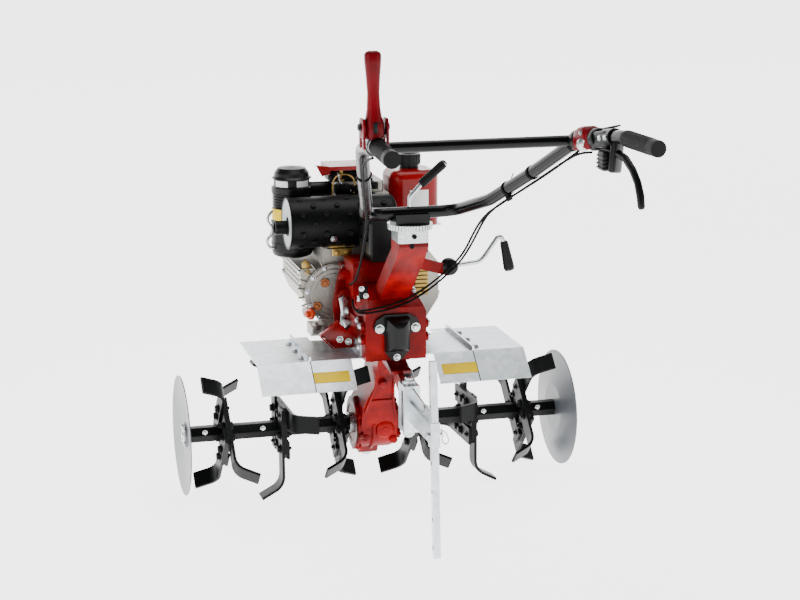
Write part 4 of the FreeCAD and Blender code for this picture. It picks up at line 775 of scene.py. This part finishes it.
set_down("fuel_tap", [(tap, (110, 130, 746), UP), (block((26, 7, 5), 1.5), (110, 118, 722), UP)],
         zinc)
fin_panel = each(block((46, 10, 5), 1.2), [(146, 30, z) for z in range(566, 650, 12)])
set_down("cooler_fins", fin_panel + [(block((50, 6, 96), 2), (146, 36, 606), UP)], brass)

# %% [markdown]
# The muffler sits in a guard with dimples. A bump texture would leave its outline smooth, so each
# dimple is a small turned button, in rows staggered by half a step.

# %% Muffler
DRUM, DRUM_R, DIMPLE_STEP = (0, 39, 786), 72, 68
dimple = turned([(0, 0.25), (5, 0.3), (6.4, 0.8), (7.2, 0.7), (8, 0.1), (8, -1), (0, -1)], 24)
dimples = []
for row, out in enumerate(around("x", (0, 0, 0), 1, range(7, 367, 24))):
    for k in range(4):
        x = -209 + DIMPLE_STEP * (k + 0.5 * (row % 2))
        dimples.append((dimple, Vector((x, 0, 0)) + DRUM_R * out, out))
set_down("muffler_dimples", dimples, rubber, origin=DRUM)
end_disc = turned([(20, 1.6), (62, 1.6), (66, 3), (68.5, 3), (68.5, 0), (20, 0)], 64)
set_down("muffler_end", [(end_disc, (-239.5, 0, 0), LEFT)], satin, origin=DRUM)
rim = turned([(68.9, 0), (73, 0), (73.6, 3), (72.4, 5), (69.5, 5), (68.9, 3)], 64)
stub_ring = turned([(20.2, 0), (24, 0), (24, 6), (22, 8), (20.2, 8)], 40)
set_down("muffler_rims", [(rim, (-239, 0, 0), LEFT), (stub_ring, (-236, 0, -12), LEFT)], black_steel,
         origin=DRUM)
set_down("muffler_bracket", [
    (block((70, 52, 5), 1.5), (-88, 44, 712), (0, 0.2, 1)),
    (block((58, 5, 22), 1.5), (-88, 20, 700), UP),
] + each(M8, [(-104, 16, 700), (-74, 16, 700)], BACK), brass)
set_down("muffler_bolt", [(M8, (-122, -22, 748), (0, -1, -0.5))], zinc)

# %% [markdown]
# The oil-bath air cleaner is a stack of drums with windows, a blank yellow band and a wire latch.
# Band and windows stand a little proud, since two surfaces in one place would flicker.

# %% Air cleaner
filter_low, filter_high = box_mm("air_filter")
filter_foot = Vector((-196, (filter_low.y + filter_high.y) / 2, 0))
band = turned([(57, 0), (58.4, 0), (58.4, 33), (57, 33)], 64)
set_down("filter_band", [(band, (0, 0, 772), UP)], yellow_label, origin=filter_foot)
window = turned([(50, 0), (53.5, 0), (53.5, 17), (50, 17)], 10, 46)
windows = [(window, (0, 0, 870.5), spun(angle, "Z")) for angle in (200, 275, 20, 100)]
set_down("filter_windows", windows, white_label, origin=filter_foot)
latch_way = [(-60, -20, 800), (-72, -20, 792), (-78, -20, 770), (-62, -20, 752),
             (-66, -20, 728), (-80, -20, 716), (-76, -20, 694), (-60, -20, 690)]
rod_along("filter_latch", latch_way, 4.2, zinc, origin=filter_foot)
bead = turned([(60, 0), (61.6, 0.6), (61.6, 5), (60, 6)], 64)
set_down("filter_trim", each(bead, [(0, 0, 700), (0, 0, 762)]), black_plastic, origin=filter_foot)

# %% [markdown]
# Under the red guard, pipes bring fuel to the injectors, between blocks and nuts. They are splines
# guided by a few places, measured from the back of the cylinder head to keep clear of it.

# %% Injector pipes
set_down("valve_cover", [
    (block((104, 60, 30), 6), (-38, 206, 892), UP),
    (block((60, 40, 20), 5), (-24, 190, 886), UP),
], black_steel)
head_back = Vector((0, box_mm("cylinder_head")[0].y, 0))
injector_way = [(-60, 40, 878), (-62, 30, 900), (-70, 6, 906), (-66, -8, 880),
                (-40, -10, 858), (-16, -8, 846), (-8, -6, 820), (6, -6, 800)]
rod_along("injector_pipe", injector_way, 3, zinc, origin=head_back)
leak_way = [(-86, -6, 830), (-92, -14, 860), (-84, -6, 896), (-56, 16, 902),
            (-30, 10, 898), (-20, -8, 880), (-26, -12, 850)]
rod_along("leak_off_pipe", leak_way, 2.6, brass, origin=head_back)
rod_along("fuel_hose", [(110, 130, 716), (104, 124, 704), (90, 112, 716), (80, 110, 760), (60, 108, 800),
                        (40, 112, 840), (20, 118, 852), (2, 124, 850)], 4.5, cable_jacket)

# %% Injectors, blocks and nuts
injector = turned([(0, 44), (3, 44), (4, 38), (7, 36), (7, 22), (10, 20), (10, 6), (14, 5), (14, 0), (0, 0)],
                  24)
set_down("injector", [(injector, (-52, 44, 878), UP), (injector, (-6, 52, 878), (0.1, 0, 1))], brass,
         origin=head_back)
head_parts = [(block((46, 22, 30), 4), (-60, -4, 862), UP), (block((30, 18, 44), 4), (-20, -4, 850), UP),
              (block((34, 26, 22), 4), (30, 2, 868), UP), (M10, (-60, -16, 866), BACK)]
head_parts += each(M8, [(-22, -14, 862), (-22, -14, 840)], BACK)
head_parts += each(M10_NUT, [(24, 6, 879), (-84, 20, 879)])
set_down("head_blocks", head_parts, black_steel, origin=head_back)
head_nuts = each(M10_NUT, [(x, y, 878) for x in (-60, 50) for y in (110, 128)])
set_down("head_nuts", head_nuts, zinc, origin=head_back)

# %% [markdown]
# ### Tank, battery box and starter
# The tank's cap has grip ribs, and a blank white plate shows where a label would be. Typed places
# would work too, but those set out from the CAD boxes follow a tank of another size.

# %% Tank and battery box
cap_low, cap_high = box_mm("fuel_cap")
cap = (cap_low + cap_high) / 2
cap_turns = range(0, 360, 12)
cap_rib = block((3, 3.4, 26), 1)
cap_places = around("z", (cap.x, cap.y, cap.z + 5), 33, cap_turns)
set_down("cap_ribs", [(cap_rib, place, spun(angle, "Z")) for place, angle in zip(cap_places, cap_turns)],
         black_plastic)
cap_top = turned([(0, 2.5), (20, 2.5), (24, 1), (26, 0), (0, 0)], 40)
set_down("cap_top", [(cap_top, (cap.x, cap.y, cap_high.z - 0.5), UP)], rubber)
tank_back = box_mm("fuel_tank")[0].y
set_down("tank_label", [(panel(28, 29, 0.7, 0.3), (167, tank_back, 822), STANDING)], white_label)
battery = box_mm("battery_box")[0]
set_down("battery_strap", [
    (block((5, 20, 112), 1.5), (battery.x + 3, battery.y + 62, 778), UP),
    (block((176, 20, 5), 1.5), (33, battery.y + 62, 833), UP),
], rubber)

# %% [markdown]
# The starter has a ring of cooling slots around its hub, and a pull handle. Real slots are holes
# that look dark from the shade inside; thin dark plates stand in as painted shade and leave the CAD cover
# whole.

# %% Starter and fan
SHAFT_UP = 575
starter_face = box_mm("recoil_starter")[1].y
# Painted shade: each slot is a thin dark plate where the real hole is dark inside.
slot_shade = plate([(-3, 44), (3, 44), (5, 82), (-5, 82)], 1.2, 0.5)
slot_shades = [(slot_shade, (0, starter_face, SHAFT_UP), spun(turn, "Y") @ spun(-90, "X")) for turn in range(0, 360, 20)]
set_down("starter_slots", slot_shades, rubber)
starter_hub = turned([(0, 5), (26, 5), (32, 3), (36, 0), (0, 0)], 48)
set_down("starter_hub", [(starter_hub, (0, starter_face, SHAFT_UP), AHEAD)], black_plastic)
handle = turned([(0, 0), (7, 1), (9, 8), (8, 30), (9, 52), (7, 59), (0, 60)], 24)
set_down("starter_handle", [(handle, (62, starter_face - 14, 652), (1, 0, 0.1))], rubber)
fan_face = box_mm("fan_housing")[1].y
fan_turns = [22.5 + 45 * k for k in range(8)]
set_down("fan_screws", each(M6, around("y", (0, fan_face, SHAFT_UP), 114, fan_turns), AHEAD), zinc)

# %% [markdown]
# ### Fenders and labels
# The fenders are folded galvanised sheet in two bolted lengths. A thin dark strip along the joint is
# a painted shadow line, since the real sheet has only shade there; the flaps carry blank yellow plates.

# %% Fender bolts, seam shadows and plates
SEAM_X, FENDER_UP = 233, 447
fender_bolts, flange_screws = [], []
for side in SIDES:
    for y in (-170, -90, -10):
        place = Vector((side * 252, y, FENDER_UP))
        fender_bolts += [(M8, place, UP), (M10_NUT, place - Vector((0, 0, 3)), DOWN)]
    flange_screws += each(M8, [(side * 89, y, 470) for y in (-180, -90, -20)], (side, 0, 0))
set_down("fender_bolts", fender_bolts + flange_screws, zinc)
flap_turn = Matrix.Rotation(atan2(68, 76), 4, "X")
# Painted shadow: thin dark strips where the two sheets meet.
seam_shadows = each(block((2.4, 268, 2), 0.6), [(side * SEAM_X, -73, FENDER_UP + 0.6) for side in SIDES])
seam_shadows += each(block((2.4, 102, 2), 0.6), [(side * SEAM_X, -246, 413.4) for side in SIDES], flap_turn)
set_down("fender_seams", seam_shadows, rubber)
labels = each(panel(50, 17, 0.6, 0.25), [(side * 182, -250, 410.5) for side in SIDES], flap_turn)
set_down("fender_labels", labels, yellow_label)

# %% [markdown]
# ### Hitch
# The drag bar is held by a pin through its sleeve, and a spring clip through the pin keeps it in.
# The clip is one bent wire, so it is one spline that loops round too.

# %% Hitch pin and spring clip
SLEEVE_Y = -610
pin = turned([(0, -22), (4.6, -22), (5, -20), (5, 16), (9, 16), (9, 20), (7, 21), (0, 21)], 24)
set_down("sleeve_pin", [(pin, (5, SLEEVE_Y, 338), LEFT)], zinc, "drag_linkage")
clip_way = [(24, 0, 352), (26, 4, 342), (30, 5, 332), (26, 5, 320), (34, 2, 308),
            (44, -2, 314), (42, -5, 328), (36, -5, 340), (26, -4, 350), (22, -3, 346)]
rod_along("spring_clip", clip_way, 1.8, zinc, "drag_linkage", (0, SLEEVE_Y, 0))
set_down("hitch_bolts", [(M12, (0, -380, 422), UP), (M8, (-1, -528, 386), LEFT), (M8, (6, -528, 386), RIGHT)],
         zinc, "drag_linkage")

# %% [markdown]
# ### Levers and grips
# The bent levers are zinc plated rods with black grips pushed over them. Each grip is turned, then
# laid along the last stretch of its lever.

# %% Lever grips
lock_bend = Vector((30, -388, 956.6))
lock_axis = (Vector((94, -388, 1010.6)) - lock_bend).normalized()
lock_grip = turned([(0, -4), (8, -4), (11.5, -1), (12, 6), (11.6, 40), (12, 74), (10.5, 82), (6, 86),
                    (0, 87)])
set_down("lock_grip", [(lock_grip, lock_bend + lock_axis * 2, lock_axis)], rubber, "handlebar")
gear_axis = Vector((16, 0, -74)).normalized()
gear_grip = turned([(0, -5), (8, -5), (11, -2), (11.5, 4), (13, 30), (14.8, 60), (15.2, 72), (13, 79),
                    (0, 81)])
set_down("gear_grip", [(gear_grip, (305, -256, 760), gear_axis)], rubber)
knuckle = turned([(0, 20), (12, 20), (22, 14), (24, 6), (24, -6), (22, -14), (12, -20), (0, -20)], 40)
set_down("gear_knuckle", [(knuckle, (148, -256, 702), BACK), (M10, (148, -276, 702), BACK)], black_plastic)

# %% [markdown]
# The handlebar's grips have fine rings so that wet hands don't slip. The tube's bends are listed
# once, for the right arm; the left arm is its mirror image.

# %% Grip rings
arm = [Vector(bend) for bend in
       [(211, -739, 1031.3), (263, -931, 1140.3), (285, -1154, 1178.3), (298, -1330, 1176.3)]]
grip_axis = (arm[3] - arm[2]).normalized()
AS_IS, MIRROR = Vector((1, 1, 1)), Vector((-1, 1, 1))
ring = turned([(18.6, 0), (19.6, 0.8), (19.6, 2.4), (18.6, 3.2)], 36)
end_cap = turned([(0, 3), (14, 2.6), (19, 0.5), (19.4, -2), (18, -3), (0, -3)], 36)
rings = []
for flip in (MIRROR, AS_IS):
    rings += each(ring, [(arm[2] + grip_axis * (34 + 6 * k)) * flip for k in range(20)], grip_axis * flip)
    rings.append((end_cap, (arm[3] + grip_axis * 2.4) * flip, grip_axis * flip))
set_down("grip_rings", rings, rubber, "handlebar")

# %% [markdown]
# The clutch lever is a tall red moulding that swells into a palm rest, between two cheeks on the
# left arm. The plain solid stood for it in the CAD; this closer form, lofted through eleven rings,
# takes its place.

# %% Clutch lever
lever_foot = Vector((-arm[2].x - 5, arm[2].y + 4, arm[2].z + 16.3))
tall = [(0, 20, 18), (10, 23, 21), (34, 22, 21), (50, 17.5, 17), (66, 15, 14), (100, 13.5, 12),
        (140, 16, 13.5), (165, 18.5, 15), (182, 19, 15.5), (187, 16, 13), (190.3, 10, 8)]
tilt = Vector((0, 0.06, 1))
lever_shape = lofted([(lever_foot + tilt * up, tilt, wide, deep) for up, wide, deep in tall], 2.3)
clutch_body = set_down("clutch_lever_body", [(lever_shape, (0, 0, 0), AS_BUILT)], red_plastic, "handlebar")
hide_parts("clutch_lever")
cheek = plate([(-21, -20), (-21, 30), (-14, 46), (14, 46), (21, 34), (21, -20), (10, -20), (10, 2), (-10, 2),
               (-10, -20)], 5, 1)
cheeks = each(cheek, [(-29, 0, 0), (24, 0, 0)], SIDEWAYS)
set_down("clutch_bracket", cheeks + [(block((14, 5, 26), 2), (8, -22, 22), UP)],
         red_plastic, "handlebar", lever_foot)
set_down("clutch_pivot", [
    (M8, (29, 4, 26), RIGHT), (M8, (-29, 4, 26), LEFT),
    (block((11, 4, 24), 1.5), (-2, -22.5, 26), UP),
], black_plastic, "handlebar", lever_foot)
tube_clamp = turned([(16.3, -9), (20, -9), (21, -7), (21, 7), (20, 9), (16.3, 9)], 32)
clamp_spots = [(arm[2] + grip_axis * shift) * MIRROR for shift in (-12, 14)]
set_down("clutch_clamp", each(tube_clamp, clamp_spots, grip_axis * MIRROR), black_plastic, "handlebar")

# %% [markdown]
# The throttle is a red housing clamped round the right arm, with a dial and a thumb lever. Its
# rings are lofted upright; a matrix of the arm's own directions then turns them all at once.

# %% Throttle housing
arm_axis = (arm[2] - arm[1]).normalized()
arm_side = Vector(UP).cross(arm_axis).normalized()
across_arm = Matrix((-arm_side, arm_axis, arm_axis.cross(arm_side))).transposed().to_4x4()


def on_arm(share):
    """A place on the right arm, from its middle bend (0) to its upper bend (1)."""
    return arm[1] + (arm[2] - arm[1]) * share


throttle = on_arm(0.25)
housing_rings = [(2, 0, -24, 27, 34), (2, 0, -18, 28, 40), (2, 0, 6, 28, 41), (2, 2, 18, 26, 36),
                 (4, 6, 27, 21, 25), (4, 8, 31, 14, 16)]
housing_shape = lofted([((x, y, z), UP, wide, deep) for x, y, z, wide, deep in housing_rings], 3.2)
housing = set_down("throttle_housing", [(housing_shape, throttle, across_arm)], red_plastic, "handlebar")
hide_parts("throttle_block")
collar = turned([(16.3, -12), (23, -12), (25, -9), (25, 9), (23, 12), (16.3, 12)], 32)
set_down("throttle_clamp", each(collar, [arm_axis * 52, arm_axis * -50], arm_axis) +
         [(block((44, 30, 40), 6), arm_axis * 50 + Vector((6, 0, -8)), across_arm)],
         black_plastic, "handlebar", throttle)
dial = turned([(0, 9), (12, 9), (16, 6), (17, 0), (0, 0)], 32)
set_down("throttle_dial", [(dial, (-20, -22, -8), (-1, -0.8, 0)), (M6, (-24, -18, 18), (-1, -0.5, 0.4))],
         zinc, "handlebar", throttle)
thumb = lofted([((0, 0, up), UP, wide, deep) for up, wide, deep in
                [(0, 9, 5), (18, 7, 3.5), (44, 8, 3), (56, 6, 2.4)]], 2.4)
set_down("thumb_lever", [(thumb, (10, -30, 24), (0.75, -0.5, 0.25))], black_plastic, "handlebar",
         throttle)

# %% [markdown]
# The hand lever curves down from a perch on the arm, beside a ribbed switch box. A lofted form
# needs a direction at each ring; taking it from one neighbour to the other keeps the bend smooth.

# %% Right hand lever
lever_top = on_arm(0.72) + Vector((0, 0, -28.4))
lever_way = [(0, 0, 0, 12, 8), (7, -40, -2, 11, 8), (12, -74, -9, 9, 8), (15, -112, -30, 8.5, 8),
             (16, -140, -54, 8.5, 8), (16.5, -156, -80, 9, 8), (16, -165, -104, 8.5, 7.5),
             (16, -166, -110, 5, 5)]
stations = []
for k, (x, y, z, wide, deep) in enumerate(lever_way):
    ahead, behind = lever_way[min(k + 1, len(lever_way) - 1)], lever_way[max(k - 1, 0)]
    stations.append((lever_top + Vector((x, y, z)), Vector(ahead[:3]) - Vector(behind[:3]), wide, deep))
blade = set_down("right_lever_blade", [(lofted(stations, 2.3), (0, 0, 0), AS_BUILT)],
                 black_plastic, "handlebar")
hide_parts("right_lever")
set_down("lever_perch", [
    (block((42, 78, 38), 6), (2, 0, -2), across_arm),
    (block((18, 40, 78), 6), (9, -52, -34), (0.12, 0.1, 1)),
], black_plastic, "handlebar", on_arm(0.62))
switch = Vector((271, -1095, 1116))
fins = each(block((30, 44, 4), 1.5), [(-1, 0, up) for up in (-16, -7, 2, 11)])
set_down("lever_box", [(block((28, 40, 44), 4), (0, 0, 0), UP)] + fins +
         [(block((22, 34, 40), 4), (16, -4, 14), UP)], black_plastic, "handlebar", switch)
set_down("throttle_screws", [(pan_screw, (14, -21, 6), BACK), (M6, (22, -21, 22), BACK)],
         zinc, "handlebar", switch)
clamp_bolts = []
for side in SIDES:
    for spot in (on_arm(0.7), on_arm(0.82)):
        clamp_bolts.append((M6, (side * (spot.x - 20.5), spot.y, spot.z), (-side, 0, 0)))
set_down("lever_clamp_bolts", clamp_bolts, zinc, "handlebar")

# %% [markdown]
# Plastic ties hold the cables to the handlebar. Each is a thin ring at a share of the tube's length,
# and one has a clip for both cables.

# %% Cable ties and column screws
tie = turned([(16.4, -4), (18.4, -4), (18.4, 4), (16.4, 4)], 36)
low_axis = (arm[1] - arm[0]).normalized()
ties = []
for flip, share in ((MIRROR, 0.2), (AS_IS, 0.05), (AS_IS, 0.9)):
    ties.append((tie, (arm[0] + (arm[1] - arm[0]) * share) * flip, low_axis * flip))
lowest_bend = Vector((163, -567, 940.3))
clip_axis = (arm[0] - lowest_bend).normalized()
clip = lowest_bend + (arm[0] - lowest_bend) * 0.45
ties += [(tie, clip, clip_axis), (block((10, 16, 20), 3), clip + Vector((4, 0, -24)), clip_axis),
         (block((2, 3, 26), 0.8), clip + Vector((10, 0, 26)), (0.35, 0, 1))]
set_down("cable_ties", ties, cable_jacket, "handlebar")
set_down("column_screws", each(socket_screw, [(-6, -429, 800), (0, -432, 826)], BACK), black_steel)

# %% [markdown]
# ### Cables
# A control cable is a smooth line, so each is one spline that a few places guide. It is tied to the
# handlebar at one end and the gearbox at the other. A rigid cable would tear off one of them when
# the handlebar swings; here each jacket is one fixed piece that rides on no body.

# %% Cable routes
under_bar = [(250, -885, 1085), (231, -815, 1046), (213, -748, 1009), (194, -680, 972), (175, -612, 934)]
throttle_route = [(268, -1010, 1122.5), (263, -950, 1114)] + under_bar + [
    (160, -548, 900), (157, -490, 862), (158, -432, 820), (161, -374, 778), (158, -318, 737),
    (134, -280, 696), (86, -272, 656), (34, -270, 624), (-16, -268, 607), (-60, -266, 599),
    (-97, -259, 592), (-103, -222, 586), (-95, -186, 578), (-89.4, -150, 571),
]
clutch_route = [(-279, -1096, 1144), (-271, -1026, 1130), (-263, -955, 1114)]
clutch_route += [(-x, y, z) for x, y, z in under_bar] + [
    (-157, -548, 893), (-144, -484, 848), (-134, -420, 800), (-125, -356, 754), (-116, -292, 712),
    (-107, -228, 676), (-99, -160, 648), (-93.4, -92, 630),
]
stop_route = [
    (266, -962, 1128), (251, -890, 1087), (232, -818, 1046), (212, -744, 1006), (190, -664, 964),
    (172, -592, 926), (164, -536, 892), (163, -484, 852), (164, -428, 808), (165, -368, 766),
    (160, -310, 722), (134, -276, 682), (86, -268, 642), (34, -266, 612), (-16, -264, 595),
    (-60, -262, 588), (-97, -254, 583), (-108, -214, 584), (-104, -170, 592), (-98, -150, 600),
]

# %% Cables
CABLE_R = 3
cables = [("stop_cable", stop_route, 6, 11), ("throttle_cable", throttle_route, 7, 12),
          ("clutch_cable", clutch_route, 8, 12)]
for name, route, leaves_bar, meets_case in cables:
    jacket = rod_along(name + "_jacket", route, CABLE_R, cable_jacket, None)
    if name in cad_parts:
        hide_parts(name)
    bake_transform(jacket)

# %% [markdown]
# ## Hand over
# The shapes that were set down are only moulds, and are cleared away.

# %% Hand over
for shape in [m for m in bpy.data.meshes if m.users == 0]:
    bpy.data.meshes.remove(shape)
